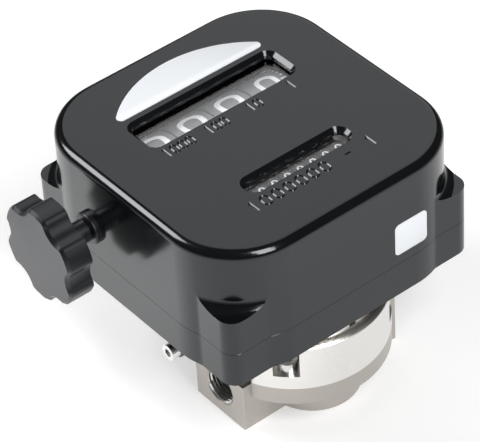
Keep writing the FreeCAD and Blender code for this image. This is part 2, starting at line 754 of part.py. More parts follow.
hole = pocket(b, s, S.foot_grip + 1, "cap_foot_hole")
polar(b, hole, s, 4, "cap_foot_holes")
node("meter_cap", b)

screws = []
for k in range(4):
    a = math.radians(45 + 90 * k)
    screws.append(socket_screw("cap_screw_%d" % k, S.bolt_r, S.pocket_floor + S.bolt_grip,
                               S.bolt_head_r, S.bolt_head_len, S.bolt_key,
                               bolt_circle * math.cos(a), bolt_circle * math.sin(a), pocket_z, UP))
node("cap_screws", group("cap_screw_set", screws))

# Adapter ring and its screws

b = start("adapter_ring")
s = sketch(b, "ring_profile", "XZ_Plane")
inner = ring_r - S.ring_wall
outline(s, [(ring_in, ring_z), (ring_r, ring_z), (ring_r, reg_z), (inner, reg_z),
            (inner, ring_z + S.ring_foot), (ring_in, ring_z + S.ring_foot)])
revolve(b, s, "ring_turned")
s = sketch(b, "slot_sketch", "XZ_Plane", ring_r + 1)
rectangle(s, S.slot_w, S.slot_h, 0, ring_z + S.ring_foot + S.slot_up)
pocket(b, s, S.ring_wall + 3, "slot")
s = sketch(b, "clamp_hole_sketch", "YZ_Plane", -ring_r - 1)
circle(s, S.clamp_r + S.run_play, 0, clamp_z)
pocket(b, s, S.ring_wall + 3, "clamp_hole", reverse=True)
s = sketch(b, "foot_sketch", lift=ring_z + S.ring_foot, spin=FOOT_TURN)
circle(s, S.foot_screw_r + S.hole_play, foot_circle, 0)
hole = pocket(b, s, S.ring_foot + 1, "foot_hole")
polar(b, hole, s, 4, "foot_holes")
node("adapter_ring", b)

screws = []
for k in range(4):
    a = math.radians(FOOT_TURN + 90 * k)
    screws.append(socket_screw("ring_screw_%d" % k, S.foot_screw_r, S.ring_foot + S.foot_grip,
                               S.foot_head_r, S.foot_head_len, S.foot_key,
                               foot_circle * math.cos(a), foot_circle * math.sin(a),
                               ring_z + S.ring_foot, UP))
node("ring_screws", group("ring_screw_set", screws))

spigot_r = ring_r - S.ring_wall - S.spigot_play
clamp_seat = -side - S.clamp_out + S.clamp_head_len
clamp_end = -spigot_r + S.spigot_wall / 2
node("clamp_screw", socket_screw("clamp", S.clamp_r, clamp_end - clamp_seat, S.clamp_head_r,
                                 S.clamp_head_len, S.clamp_key, clamp_seat, 0, clamp_z, BACKWARD))


# Register housing. Both halves are drawn round the register's centre.

def housing(body, height, lug_height, seam_z):
    """The square outer form with its round corners and the four corner lugs."""
    s = sketch(body, body.Name + "_plan")
    rounded(s, S.reg_w, S.reg_d, S.reg_corner)
    pad(body, s, height, body.Name + "_block")
    s = sketch(body, body.Name + "_lug_plan")
    x = S.reg_w / 2 - S.lug_inset - S.reg_corner / 2
    y = S.reg_d / 2 - S.lug_inset - S.reg_corner / 2
    for i, j in CORNERS:
        rectangle(s, S.reg_corner, S.reg_corner, x * i, y * j)
    pad(body, s, lug_height, body.Name + "_lugs")
    names = edges(body, lambda e: upright(e) and near(abs(e.Vertexes[0].X), side - S.lug_inset)
                  and near(abs(e.Vertexes[0].Y), S.reg_d / 2 - S.lug_inset))
    ease(body, "Fillet", names, S.lug_r, body.Name + "_lug_corners")

    def crease(edge):
        """True where a lug's side meets the round corner."""
        if not upright(edge):
            return False
        x, y = abs(edge.Vertexes[0].X), abs(edge.Vertexes[0].Y)
        free = float(S.lug_inset + S.lug_r) + 1
        beside = near(x, side - S.lug_inset) and y < float(S.reg_d / 2) - free
        ahead = near(y, S.reg_d / 2 - S.lug_inset) and x < float(side) - free
        return beside or ahead

    ease(body, "Fillet", edges(body, crease), S.lug_sweep, body.Name + "_lug_sweeps")
    rim = edges(body, lambda e: near(e.BoundBox.ZMin, seam_z) and near(e.BoundBox.ZMax, seam_z))
    ease(body, "Chamfer", rim, S.seam, body.Name + "_seam")


def scoop(body, i, j):
    """Hollows the top of one lug: its section is swung round the axis of the round corner."""
    s = sketch(body, "scoop_%d_%d" % (i, j), "XZ_Plane")
    x, y = (S.reg_w / 2 - S.reg_corner) * i, (S.reg_d / 2 - S.reg_corner) * j
    turn = Rotation(Vector(0, 1, 0), math.degrees(math.atan2(j, i)))
    s.AttachmentOffset = Placement(Vector(float(x), 0, -float(y)), turn)
    s.setExpression("AttachmentOffset.Base.x", x.text)
    s.setExpression("AttachmentOffset.Base.z", (-y).text)
    r0, z0 = S.reg_corner, S.lug_h
    r1, z1, far = r0 + S.lug_blend, z0 + S.lug_blend, r0 * 1.5
    corners = [(r1, z0), (far, z0), (far, z1), (r0, z1)]
    spots = [Vector(float(r), float(z), 0) for r, z in corners]
    for a, b in zip(spots, spots[1:]):
        s.addGeometry(Part.LineSegment(a, b), False)
    hollow = Part.Circle(Vector(float(r1), float(z1), 0), Vector(0, 0, 1), float(S.lug_blend))
    s.addGeometry(Part.ArcOfCircle(hollow, math.pi, math.pi * 1.5), False)
    for line in (0, 1):
        s.addConstraint(Sketcher.Constraint("Coincident", line, 2, line + 1, 1))
    s.addConstraint(Sketcher.Constraint("Coincident", 2, 2, 3, 1))
    s.addConstraint(Sketcher.Constraint("Coincident", 3, 2, 0, 1))
    for k, spot in enumerate(corners[:3]):
        pin(s, k, 1, *spot)
    pin(s, 2, 2, *corners[3])
    datum(s, "Radius", S.lug_blend, 3)
    f = body.newObject("PartDesign::Groove", "lug_hollow_%d_%d" % (i, j))
    f.Profile = s
    f.ReferenceAxis = (s, ["V_Axis"])
    f.Angle = 90
    f.Midplane = True
    return finish(body, f)


b = start("register_base")
housing(b, S.base_h, S.base_h, S.base_h)
s = sketch(b, "tray_sketch", lift=S.base_h)
rounded(s, S.reg_w - 2 * S.wall, S.reg_d - 2 * S.wall, S.reg_corner - S.wall)
pocket(b, s, S.base_h - S.floor_t, "tray")
s = sketch(b, "spigot_sketch")
circle(s, spigot_r, 0, -S.reg_y)
circle(s, spigot_r - S.spigot_wall, 0, -S.reg_y)
pad(b, s, S.spigot_len, "spigot", reverse=True)
s = sketch(b, "clamp_web_sketch", "YZ_Plane", clamp_seat)
rectangle(s, S.clamp_boss_r * 2, S.clamp_drop + 1, -S.reg_y, 0.5 - S.clamp_drop / 2)
clamp_len = -S.flange_r - 1 - clamp_seat
pad(b, s, clamp_len, "clamp_web")
s = sketch(b, "clamp_boss_sketch", "YZ_Plane", clamp_seat)
circle(s, S.clamp_boss_r, -S.reg_y, -S.clamp_drop)
pad(b, s, clamp_len, "clamp_boss")
s = sketch(b, "clamp_bore_sketch", "YZ_Plane", clamp_seat - 1)
circle(s, S.clamp_r + S.run_play, -S.reg_y, -S.clamp_drop)
pocket(b, s, clamp_end - clamp_seat + 2, "clamp_bore", reverse=True)
s = sketch(b, "case_hole_sketch")
for i, j in CORNERS:
    circle(s, S.case_screw_r + S.hole_play, lug_x * i, lug_y * j)
pocket(b, s, S.base_h, "case_holes", reverse=True)
s = sketch(b, "case_sink_sketch")
for i, j in CORNERS:
    circle(s, S.case_head_r + S.hole_play, lug_x * i, lug_y * j)
pocket(b, s, S.case_sink, "case_sinks", reverse=True)
s = sketch(b, "sleeve_hole_sketch", lift=S.floor_t)
circle(s, S.sleeve_r + S.slip, 0, rotor_y - S.reg_y)
pocket(b, s, S.floor_t, "sleeve_hole")

# The gear plate's outline and its screws, from the frames that stand on it
right_x = stack + S.frame_reach
left_x = -stack - S.frame_gap - S.plate_t
tot_half = S.tot_pitch * (COUNTER_WHEELS / 2) - S.tot_gap / 2
tot_left = S.tot_x - tot_half - S.counter_gap - S.plate_t
plate_x0 = left_x - S.frame_foot - S.plate_edge
plate_x1 = right_x + S.plate_t + S.frame_foot + S.plate_edge
plate_y0 = tot_y - S.tot_foot - S.plate_front
plate_y1 = drum_y + S.frame_half + S.plate_rear
x0, x1, y0, y1 = (plate_x0 + S.plate_corner, plate_x1 - S.plate_corner,
                  plate_y0 + S.plate_corner, plate_y1 - S.plate_corner)
plate_spots = [(x0, y0), (x1, y0), (x1, y1), (x0, y1)]
s = sketch(b, "plate_hole_sketch", lift=S.floor_t)
for x, y in plate_spots:
    circle(s, S.plate_screw_r + S.run_play, x, y - S.reg_y)
pocket(b, s, S.plate_grip + 0.5, "plate_holes")
node("register_base", place(b, 0, S.reg_y, reg_z))

b = start("register_cover")
housing(b, S.cover_h, S.lug_h + S.lug_blend, 0)
for i, j in CORNERS:
    scoop(b, i, j)
top_edges = edges(b, lambda e: near(e.BoundBox.ZMin, S.cover_h) and near(e.BoundBox.ZMax, S.cover_h))
ease(b, "Fillet", top_edges, S.reg_edge, "top_edge")
s = sketch(b, "hollow_sketch")
rounded(s, S.reg_w - 2 * S.wall, S.reg_d - 2 * S.wall, S.reg_corner - S.wall)
pocket(b, s, S.cover_h - S.top_t, "hollow", reverse=True)
s = sketch(b, "window_sketch", lift=S.cover_h)
rounded(s, big_w, S.big_d, S.win_r, 0, S.knob_y)
rounded(s, S.small_w, S.small_d, S.win_r, S.small_x, small_row)
pocket(b, s, S.top_t, "windows")
rims = edges(b, lambda e: near(e.BoundBox.ZMin, S.cover_h) and near(e.BoundBox.ZMax, S.cover_h)
             and abs(e.CenterOfMass.x) <= float(big_w) / 2 + 1e-4
             and abs(e.CenterOfMass.y) < float(S.knob_y + S.big_d / 2) + 1e-4)
ease(b, "Chamfer", rims, S.win_bevel, "window_bevels")
s = sketch(b, "neck_sketch", "YZ_Plane", -side - 1)
circle(s, S.neck_r + S.slip, S.knob_y, drum_z - parting)
pocket(b, s, S.wall + 2, "neck_hole", reverse=True)
s = sketch(b, "cover_hole_sketch")
for i, j in CORNERS:
    circle(s, S.case_screw_r + S.run_play, lug_x * i, lug_y * j)
pocket(b, s, S.case_grip + 2, "cover_holes", reverse=True)
node("register_cover", place(b, 0, S.reg_y, parting))

screws = []
for k, (i, j) in enumerate(CORNERS):
    screws.append(socket_screw("case_screw_%d" % k, S.case_screw_r,
                               S.base_h - S.case_sink + S.case_grip, S.case_head_r, S.case_head_len,
                               S.case_key, lug_x * i, S.reg_y + lug_y * j, reg_z + S.case_sink, DOWN))
node("housing_screws", group("case_screw_set", screws))

for name, w, d, x, y in (("big_window", big_w, S.big_d, 0, S.knob_y),
                         ("small_window", S.small_w, S.small_d, S.small_x, small_row)):
    w, d = w + 2 * S.lens_lap, d + 2 * S.lens_lap
    node(name, box(name + "_lens", w, d, S.lens_t, x - w / 2, S.reg_y + y - d / 2, lens_z))

# Reset knob, its shaft and bush

knob_back = -side - S.knob_out
knob_face = knob_back - S.knob_len
hub_end = knob_back + S.knob_hub_len
b = start("reset_knob")
s = sketch(b, "knob_sketch", "YZ_Plane", knob_face)
circle(s, S.knob_r)
pad(b, s, S.knob_len, "knob_disc")
s = sketch(b, "hollow_edge_sketch", "YZ_Plane", knob_back, spin=4)
circle(s, S.hollow_r, S.knob_waist + S.hollow_r, 0)
scallop = pocket(b, s, S.knob_len, "knob_hollow")
polar(b, scallop, s, KNOB_LOBES, "knob_hollows")
tips = edges(b, lambda e: len(e.Vertexes) == 2
             and near(abs(e.Vertexes[0].X - e.Vertexes[1].X), S.knob_len))
ease(b, "Fillet", tips, S.lobe_round, "lobe_corners")
front = edges(b, lambda e: near(e.BoundBox.XMin, knob_face) and near(e.BoundBox.XMax, knob_face))
ease(b, "Chamfer", front, S.knob_bevel, "knob_front")
s = sketch(b, "knob_hub_sketch", "YZ_Plane", knob_back)
circle(s, S.knob_hub_r)
pad(b, s, S.knob_hub_len, "knob_hub")
s = sketch(b, "knob_bore_sketch", "YZ_Plane", hub_end)
circle(s, S.shaft_r + S.slip)
pocket(b, s, S.knob_len + S.knob_hub_len - S.knob_wall, "knob_bore")
grub_x = knob_back + S.knob_hub_len / 2
s = sketch(b, "grub_sketch", "XZ_Plane")
circle(s, S.grub_r + S.slip, grub_x, 0)
pocket(b, s, S.knob_hub_r + 1, "grub_hole", reverse=True)
node("reset_knob", place(b, 0, drum_y, drum_z))

grub_len = S.knob_hub_r - S.shaft_r - S.slip
grub = cut("grub_cut", cyl("grub_rod", S.grub_r, grub_len),
           hexagon("grub_socket", S.grub_key, grub_len / 2, grub_len / 2))
node("knob_grub", place(grub, grub_x, drum_y - S.shaft_r - S.slip, drum_z, FORWARD))

shaft_x0 = knob_face + S.knob_wall
shaft_x1 = right_x + S.plate_t + 1
node("reset_shaft", cyl("shaft", S.shaft_r, shaft_x1 - shaft_x0, shaft_x0, drum_y, drum_z, ALONG))

b = start("knob_bush")
s = sketch(b, "bush_profile", "XZ_Plane")
bore = S.shaft_r + S.run_play
outline(s, [(bore, 0), (S.collar_r, 0), (S.collar_r, S.collar_len), (S.neck_r, S.collar_len),
            (S.neck_r, S.collar_len + S.neck_len), (bore, S.collar_len + S.neck_len)])
revolve(b, s, "bush_turned")
ease(b, "Fillet", edges(b, turned_edge(S.collar_r, 0)), S.collar_round, "collar_edge")
node("knob_bush", place(b, -side - S.collar_len, drum_y, drum_z, ALONG))

# Axes of the gear train, seen from above: spindle, three compound gears. The last axis
# is fixed by the arbor, the one before it stands 30 degrees off, and the first compound
# gear meshes with both the spindle and the second.

train = float(S.train_m) * (PINION_TEETH + GEAR_TEETH) / 2
axis_0 = (0.0, float(rotor_y))
axis_3 = (float(stack + S.train_out), float(tot_y))
axis_2 = (axis_3[0] - train * math.cos(math.pi / 6), axis_3[1] + train * math.sin(math.pi / 6))
span = math.dist(axis_0, axis_2)
off = math.sqrt(train ** 2 - (span / 2) ** 2)
way = heading(axis_0, axis_2)
axis_1 = ((axis_0[0] + axis_2[0]) / 2 + off * math.sin(way),
          (axis_0[1] + axis_2[1]) / 2 - off * math.cos(way))
AXES = (axis_0, axis_1, axis_2, axis_3)

deck_z = float(deck)
gear_w, gear_m, slack = float(S.gear_w), float(S.train_m), float(S.gear_slack)
levels = [deck_z + float(S.gear_lift) + k * float(S.gear_step) for k in range(3)]
overlap = (float(S.gear_step) - gear_w) / 2
apex_z = float(arbor_z)


def pinion(z0, z1, a, b):
    """A pinion at a with a tooth towards b."""
    return gear_solid(PINION_TEETH, gear_m, slack, z1 - z0, z0, heading(a, b))


def wheel(z, a, b):
    """A large gear at a with a gap towards b."""
    return gear_solid(GEAR_TEETH, gear_m, slack, gear_w, z, heading(a, b) + math.pi / GEAR_TEETH)


foot = deck_z + float(S.axial_play)
follow_z = well_z + S.follow_gap
spindle = rod(float(S.spindle_r), float(follow_z) + 1, foot + 1)
spindle = spindle.fuse(pinion(foot, levels[0] + gear_w + overlap, axis_0, axis_1))
node("spindle", place(made("spindle_solid", spindle), *axis_0))

disc = fuse("follower_blank", cyl("follower_plate", S.follow_r, S.follow_len),
            cyl("follower_hub", S.follow_hub_r, S.follow_len + S.follow_hub_len))
pits, poles = [cyl("follower_bore", S.spindle_r + S.slip, S.follow_len + S.follow_hub_len, z=1)], []
for k in range(4):
    at = [S.pole_circle * math.cos(k * math.pi / 2), S.pole_circle * math.sin(k * math.pi / 2)]
    pits.append(cyl("pole_pit_%d" % k, S.pole_r + S.slip, S.pole_len, *at))
    poles.append(cyl("pole_%d" % k, S.pole_r, S.pole_len, *at))
node("follower", place(cut("follower_cut", disc, *pits), 0, rotor_y, follow_z))
node("follower_magnets", place(group("pole_set", poles), 0, rotor_y, follow_z))

neck_h, flange_h = S.floor_t + S.plate_t, S.sleeve_flange_t
blank = fuse("sleeve_blank", cyl("sleeve_neck", S.sleeve_r, neck_h),
             cyl("sleeve_flange", S.sleeve_flange_r, flange_h, z=-flange_h))
sleeve = cut("sleeve", blank, cyl("sleeve_bore", S.spindle_r + S.run_play, neck_h + flange_h, z=-flange_h))
node("spindle_bush", place(sleeve, 0, rotor_y, reg_z))

hub_r, bore_r = float(S.sleeve_hub_r), float(S.stud_r + S.run_play)
tops = []
for k in (1, 2, 3):
    level = levels[k - 1]
    solid = rod(hub_r, foot, level + 0.5).fuse(wheel(level, AXES[k], AXES[k - 1]))
    if k < 3:
        top = levels[k] + gear_w + overlap
        solid = solid.fuse(pinion(level + gear_w - 0.5, top, AXES[k], AXES[k + 1]))
    else:
        bevel = bevel_solid(BEVEL_DRIVER_TEETH, BEVEL_DRIVEN_TEETH, float(S.bevel_m), slack,
                            float(S.bevel_face), float(S.bevel_back), 0.0)
        bevel.translate(Vector(0, 0, apex_z))
        top = bevel.BoundBox.ZMax
        solid = solid.fuse(rod(hub_r, level, bevel.BoundBox.ZMin + 0.5)).fuse(bevel)
    tops.append(top)
    bored = solid.cut(rod(bore_r, foot - 1, top + 1))
    node("gear_%d" % k, place(made("gear_solid_%d" % k, bored), *AXES[k]))

studs = [cyl("stud_%d" % k, S.stud_r, tops[k - 1] - float(floor_z), *AXES[k], floor_z) for k in (1, 2, 3)]
node("gear_studs", group("stud_set", studs))

# Arbor: driven bevel and the last pinion, along X in front of the right frame plate

bridge_x = right_x + S.plate_t + S.bridge_out
last_x = float(bridge_x - S.last_back)
arbor_x0 = float(right_x)
bevel = bevel_solid(BEVEL_DRIVEN_TEETH, BEVEL_DRIVER_TEETH, float(S.bevel_m), slack,
                    float(S.bevel_face), float(S.bevel_back), 0.0)
bevel.rotate(Vector(), Vector(1, 0, 0), 180)
bevel.rotate(Vector(), Vector(0, 0, 1), -90 + 180 / BEVEL_DRIVEN_TEETH)
bevel.translate(Vector(0, 0, axis_3[0]))
arbor = rod(float(S.stud_r), arbor_x0, float(bridge_x + S.plate_t)).fuse(bevel)
last = gear_solid(LAST_PINION_TEETH, float(S.last_m), slack, gear_w + 1, last_x - 0.5, math.pi / 2)
arbor = arbor.fuse(last)
node("bevel_arbor", place(made("arbor_solid", arbor), 0, tot_y, arbor_z, ALONG))

# Small counter: its shaft carries the last gear and the mate of the idler

point_t, point_b = (float(tot_y), float(tot_z)), (float(drum_y), float(drum_z))
half = math.dist(point_t, point_b) / 2
way = heading(point_t, point_b)
off = float(S.idler_rise)
idler_m = 2 * math.hypot(half, off) / (MATE_TEETH + IDLER_TEETH)
point_i = ((point_t[0] + point_b[0]) / 2 + off * math.sin(way),
           (point_t[1] + point_b[1]) / 2 - off * math.cos(way))
mate_x = float(right_x - S.gear_wall) - gear_w

shaft = rod(float(S.tot_shaft_r), float(tot_left), last_x + gear_w + 1)
shaft = shaft.fuse(gear_solid(MATE_TEETH, idler_m, slack, gear_w, mate_x, heading(point_t, point_i)))
shaft = shaft.fuse(gear_solid(LAST_GEAR_TEETH, float(S.last_m), slack, gear_w, last_x,
                              -math.pi / 2 + math.pi / LAST_GEAR_TEETH))
node("counter_shaft", place(made("counter_shaft_solid", shaft), 0, tot_y, tot_z, ALONG))

for k in range(COUNTER_WHEELS):
    last = k == COUNTER_WHEELS - 1
    length = S.tot_pitch - S.tot_gap
    x = S.tot_x + S.tot_pitch * (k - (COUNTER_WHEELS - 1) / 2) - length / 2
    play = S.slip if last else S.run_play
    ring = cut("counter_%d" % k, cyl("counter_drum_%d" % k, S.tot_r, length),
               cyl("counter_bore_%d" % k, S.tot_shaft_r + play, length))
    node("counter_wheel_%d" % (k + 1), place(ring, x, tot_y, tot_z, ALONG))

# Idler on its stud

toward_t, toward_b = heading(point_i, point_t), heading(point_i, point_b)
idler_phase = toward_t + math.pi / IDLER_TEETH
idler = gear_solid(IDLER_TEETH, idler_m, slack, gear_w, 0.0, idler_phase)
idler = idler.cut(rod(bore_r, -1, gear_w + 1))
node("idler_gear", place(made("idler_solid", idler), mate_x, *point_i, ALONG))
pin_len = S.idler_head + S.gear_w + S.gear_wall + S.plate_t
stud = fuse("idler_stud_solid", cyl("idler_pin", S.stud_r, pin_len, z=-S.idler_head),
            cyl("idler_cap", S.stud_r * 2, S.idler_head - S.axial_play, z=-S.idler_head))
node("idler_stud", place(stud, mate_x, *point_i, ALONG))

# Large number wheels on the reset shaft, the units wheel with its gear

pitch = 2 * math.pi / IDLER_TEETH
lean = (toward_b - idler_phase + pitch / 2) % pitch - pitch / 2
drum_phase = toward_b + math.pi + lean * IDLER_TEETH / MATE_TEETH + math.pi / MATE_TEETH
drum_len = drum_pitch - S.drum_gap
for k, name in enumerate(DRUMS):
    x = drum_pitch * (k - (len(DRUMS) - 1) / 2) - drum_len / 2
    parts = [cut("drum_%s_shell" % name, cyl("drum_%s_rim" % name, S.drum_r, drum_len),
                 cyl("drum_%s_room" % name, S.drum_r - S.drum_rim, drum_len - S.drum_web, z=S.drum_web)),
             cyl("drum_%s_hub" % name, S.drum_hub_r, drum_len)]
    if name == "units":
        gear_at = mate_x - float(x)
        parts.append(cyl("drum_gear_hub", S.drum_hub_r, gear_at + 0.5))
        parts.append(made("drum_gear", gear_solid(MATE_TEETH, idler_m, slack, gear_w, gear_at, drum_phase)))
    bore = cyl("drum_%s_bore" % name, S.shaft_r + S.run_play, drum_len * 2, z=-1)
    drum = cut("drum_%s" % name, fuse("drum_%s_blank" % name, *parts), bore)
    node("wheel_" + name, place(drum, x, drum_y, drum_z, ALONG))

# Frame plates of the counters

pillar_z = (tot_z + arbor_z) / 2


def frame(name, points, x, holes, foot_x, foot_y, foot_w, foot_spots):
    """A bent plate: an upright outline in Y and Z, and a foot with screw holes on the deck."""
    body = start(name)
    s = sketch(body, name + "_outline", "YZ_Plane", x)
    outline(s, points)
    pad(body, s, S.plate_t, name + "_upright")
    if foot_w is not None:
        s = sketch(body, name + "_foot_plan", lift=deck)
        rectangle(s, S.frame_foot, foot_w, foot_x, foot_y)
        pad(body, s, S.plate_t, name + "_foot")
        s = sketch(body, name + "_foot_holes", lift=deck + S.plate_t)
        for spot in foot_spots:
            circle(s, S.plate_screw_r + S.run_play, *spot)
        pocket(body, s, S.plate_t, name + "_screw_holes")
    s = sketch(body, name + "_bearings", "YZ_Plane", x + S.plate_t)
    for r, y, z in holes:
        circle(s, r, y, z)
    pocket(body, s, S.plate_t, name + "_holes")
    return node(name, body)


by, bz, half_w = drum_y, drum_z, S.frame_half
foot_half = S.frame_foot / 2
crown = bz + S.frame_crown
ear_y = tot_y - S.pillar_dy - S.ear_out
right_spots = [(right_x + S.plate_t + foot_half, by + d) for d in (-half_w / 2, half_w / 2)]
frame("frame_right",
      [(by - half_w, deck), (by + half_w, deck), (by + half_w, bz), (by + S.frame_tip, crown),
       (tot_y + S.tot_side, tot_z + S.tot_crown), (tot_y - S.tot_side, tot_z + S.tot_crown),
       (ear_y, pillar_z + S.ear), (ear_y, pillar_z - S.ear),
       (tot_y - S.arbor_side, arbor_z - S.arbor_drop), (tot_y + S.arbor_side, arbor_z - S.arbor_drop),
       (by - half_w, bz - S.frame_knee)],
      right_x,
      [(S.shaft_r + S.run_play, by, bz), (S.tot_shaft_r + S.run_play, tot_y, tot_z),
       (S.stud_r + S.run_play, tot_y, arbor_z), (S.stud_r + S.slip, *point_i)],
      right_x + S.plate_t + foot_half, by, half_w * 2, right_spots)

left_spots = [(left_x - foot_half, by + d) for d in (-half_w / 2, half_w / 2)]
frame("frame_left",
      [(by - half_w, deck), (by + half_w, deck), (by + half_w, bz), (by + S.frame_tip, crown),
       (by - S.frame_tip, crown), (by - half_w, bz)],
      left_x, [(S.shaft_r + S.run_play, by, bz)], left_x - foot_half, by, half_w * 2, left_spots)

tot_spots = [(tot_left - foot_half, tot_y + d) for d in (-S.tot_foot / 2, S.tot_foot / 2)]
frame("counter_plate",
      [(tot_y - S.tot_foot, deck), (tot_y + S.tot_foot, deck), (tot_y + S.tot_foot, tot_z),
       (tot_y + S.tot_tip, tot_z + S.tot_peak), (tot_y - S.tot_tip, tot_z + S.tot_peak),
       (tot_y - S.tot_foot, tot_z)],
      tot_left, [(S.tot_shaft_r + S.run_play, tot_y, tot_z)],
      tot_left - foot_half, tot_y, S.tot_foot * 2, tot_spots)

reach = S.pillar_dy + S.ear
frame("gear_bridge",
      [(tot_y - reach, pillar_z - S.ear), (tot_y - S.nose, arbor_z - S.nose_drop),
       (tot_y + S.nose, arbor_z - S.nose_drop), (tot_y + reach, pillar_z - S.ear),
       (tot_y + reach, pillar_z + S.ear), (tot_y - reach, pillar_z + S.ear)],
      bridge_x, [(S.stud_r + S.run_play, tot_y, arbor_z)], 0, 0, None, ())
pillars = [cyl("pillar_%d" % k, S.pillar_r, S.bridge_out, right_x + S.plate_t,
               tot_y + S.pillar_dy * d, pillar_z, ALONG) for k, d in enumerate((-1, 1))]
node("bridge_pillars", group("pillar_set", pillars))

# Gear plate and the small screws

plate = box("gear_plate_blank", plate_x1 - plate_x0, plate_y1 - plate_y0, S.plate_t,
            plate_x0, plate_y0, floor_z)
tools = [cyl("plate_sleeve_hole", S.sleeve_r + S.slip, S.plate_t, 0, rotor_y, floor_z)]
tools += [cyl("plate_stud_hole_%d" % k, S.stud_r + S.slip, S.plate_t, *AXES[k], floor_z)
          for k in (1, 2, 3)]
frame_spots = right_spots + left_spots + tot_spots
tools += [cyl("plate_screw_hole_%d" % k, S.plate_screw_r + S.run_play, S.plate_t, x, y, floor_z)
          for k, (x, y) in enumerate(plate_spots + frame_spots)]
node("gear_plate", cut("gear_plate_cut", plate, *tools))

screws = [socket_screw("plate_screw_%d" % k, S.plate_screw_r, S.plate_t + S.plate_grip, S.plate_head_r,
                       S.plate_head_len, S.plate_key, x, y, deck, UP) for k, (x, y) in enumerate(plate_spots)]
node("plate_screws", group("plate_screw_set", screws))
screws = [socket_screw("frame_screw_%d" % k, S.plate_screw_r, S.plate_t * 2, S.plate_head_r,
                       S.plate_head_len, S.plate_key, x, y, deck + S.plate_t, UP)
          for k, (x, y) in enumerate(frame_spots)]
node("frame_screws", group("frame_screw_set", screws))

# Check everything, then write one file for each piece

doc.recompute()
failed = [o.Name for o in doc.Objects if "Invalid" in o.State or "Error" in o.State]
failed += [label for label, o in NODES.items() if o.Shape.isNull() or not o.Shape.isValid()]
if failed:
    raise ValueError("failed: " + ", ".join(failed))
os.makedirs("parts", exist_ok=True)
for label, obj in NODES.items():
    obj.Shape.exportStep("parts/%s.step" % label)
print(len(NODES), "pieces written")
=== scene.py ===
# %% [markdown]
# A flow meter with a mechanical register, dressed for a studio picture.
# The solid pieces come in as a fixed frame, in metres, with every piece where it belongs.
# This lesson adds what a solid model leaves out: the finish of each surface, the numbers on
# the wheels, the threads, the stepped lenses, the engraving and the two plain white plates.

# %% Load the frame
import json
import math

import bmesh
import bpy
from mathutils import Matrix, Vector


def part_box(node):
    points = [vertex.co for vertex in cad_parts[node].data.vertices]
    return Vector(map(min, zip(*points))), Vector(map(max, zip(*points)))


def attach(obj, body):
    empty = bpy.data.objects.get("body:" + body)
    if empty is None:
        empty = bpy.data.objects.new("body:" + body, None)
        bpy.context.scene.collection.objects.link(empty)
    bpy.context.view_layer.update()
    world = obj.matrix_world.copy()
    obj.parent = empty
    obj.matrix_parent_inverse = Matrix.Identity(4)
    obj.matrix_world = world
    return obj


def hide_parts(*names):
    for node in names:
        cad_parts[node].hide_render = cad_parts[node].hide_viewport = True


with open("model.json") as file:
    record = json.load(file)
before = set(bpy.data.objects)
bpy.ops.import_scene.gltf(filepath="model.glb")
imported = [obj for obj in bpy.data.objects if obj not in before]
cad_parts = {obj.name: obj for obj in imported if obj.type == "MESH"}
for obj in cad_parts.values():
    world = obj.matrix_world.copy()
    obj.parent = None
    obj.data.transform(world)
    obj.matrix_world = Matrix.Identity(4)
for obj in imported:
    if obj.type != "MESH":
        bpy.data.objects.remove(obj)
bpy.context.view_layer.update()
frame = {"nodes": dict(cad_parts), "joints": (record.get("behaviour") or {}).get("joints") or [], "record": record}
nodes = frame["nodes"]
joints = {joint["name"]: joint for joint in frame["joints"]}
MM = 0.001
print("pieces in the frame:", len(nodes))

# %% [markdown]
# Colours are written the way a paint chart gives them, as sRGB hex values. A renderer adds
# light in linear numbers, so one function turns a hex value into a linear colour.
# A second small function adds a shader node: what is given for a socket is either a
# constant, set on the socket itself, or the output of another node, which gets linked.

# %% Colour and node helpers
def colour(code):
    parts = [int(code[k:k + 2], 16) / 255 for k in (1, 3, 5)]
    linear = [p / 12.92 if p <= 0.04045 else ((p + 0.055) / 1.055) ** 2.4 for p in parts]
    return (*linear, 1.0)


def add(tree, kind, sockets=None, **settings):
    node = tree.nodes.new(kind)
    for name, value in settings.items():
        setattr(node, name, value)
    for socket, value in (sockets or {}).items():
        if isinstance(value, bpy.types.NodeSocket):
            tree.links.new(value, node.inputs[socket])
        else:
            node.inputs[socket].default_value = value
    return node


def new_finish(name):
    material = bpy.data.materials.new(name)
    material.use_nodes = True
    material.node_tree.nodes.clear()
    return material, material.node_tree


def per_mm(size):
    """Texture scale at which one feature is that many millimetres wide."""
    return 1000 / size


WHITE = (1, 1, 1, 1)
print("middle grey in linear light:", [round(c, 4) for c in colour("#808080")[:3]])

# %% [markdown]
# The housing is painted a semi-gloss black, and the knob is moulded from phenolic resin,
# which is duller. Neither is a mirror: the surface has a faint orange peel, a few millimetres
# from crest to crest, and its gloss drifts a little. Both are drawn with noise, one for the
# bump and one for the roughness. The faint blue is painted into the reflections, a painted
# reflection colour for the tint of what the paint mirrors.

# %% Painted housing and moulded knob
GLOSS_DRIFT_MM, PEEL_DEPTH_MM, PEEL_STRENGTH = 45, 0.1, 0.04


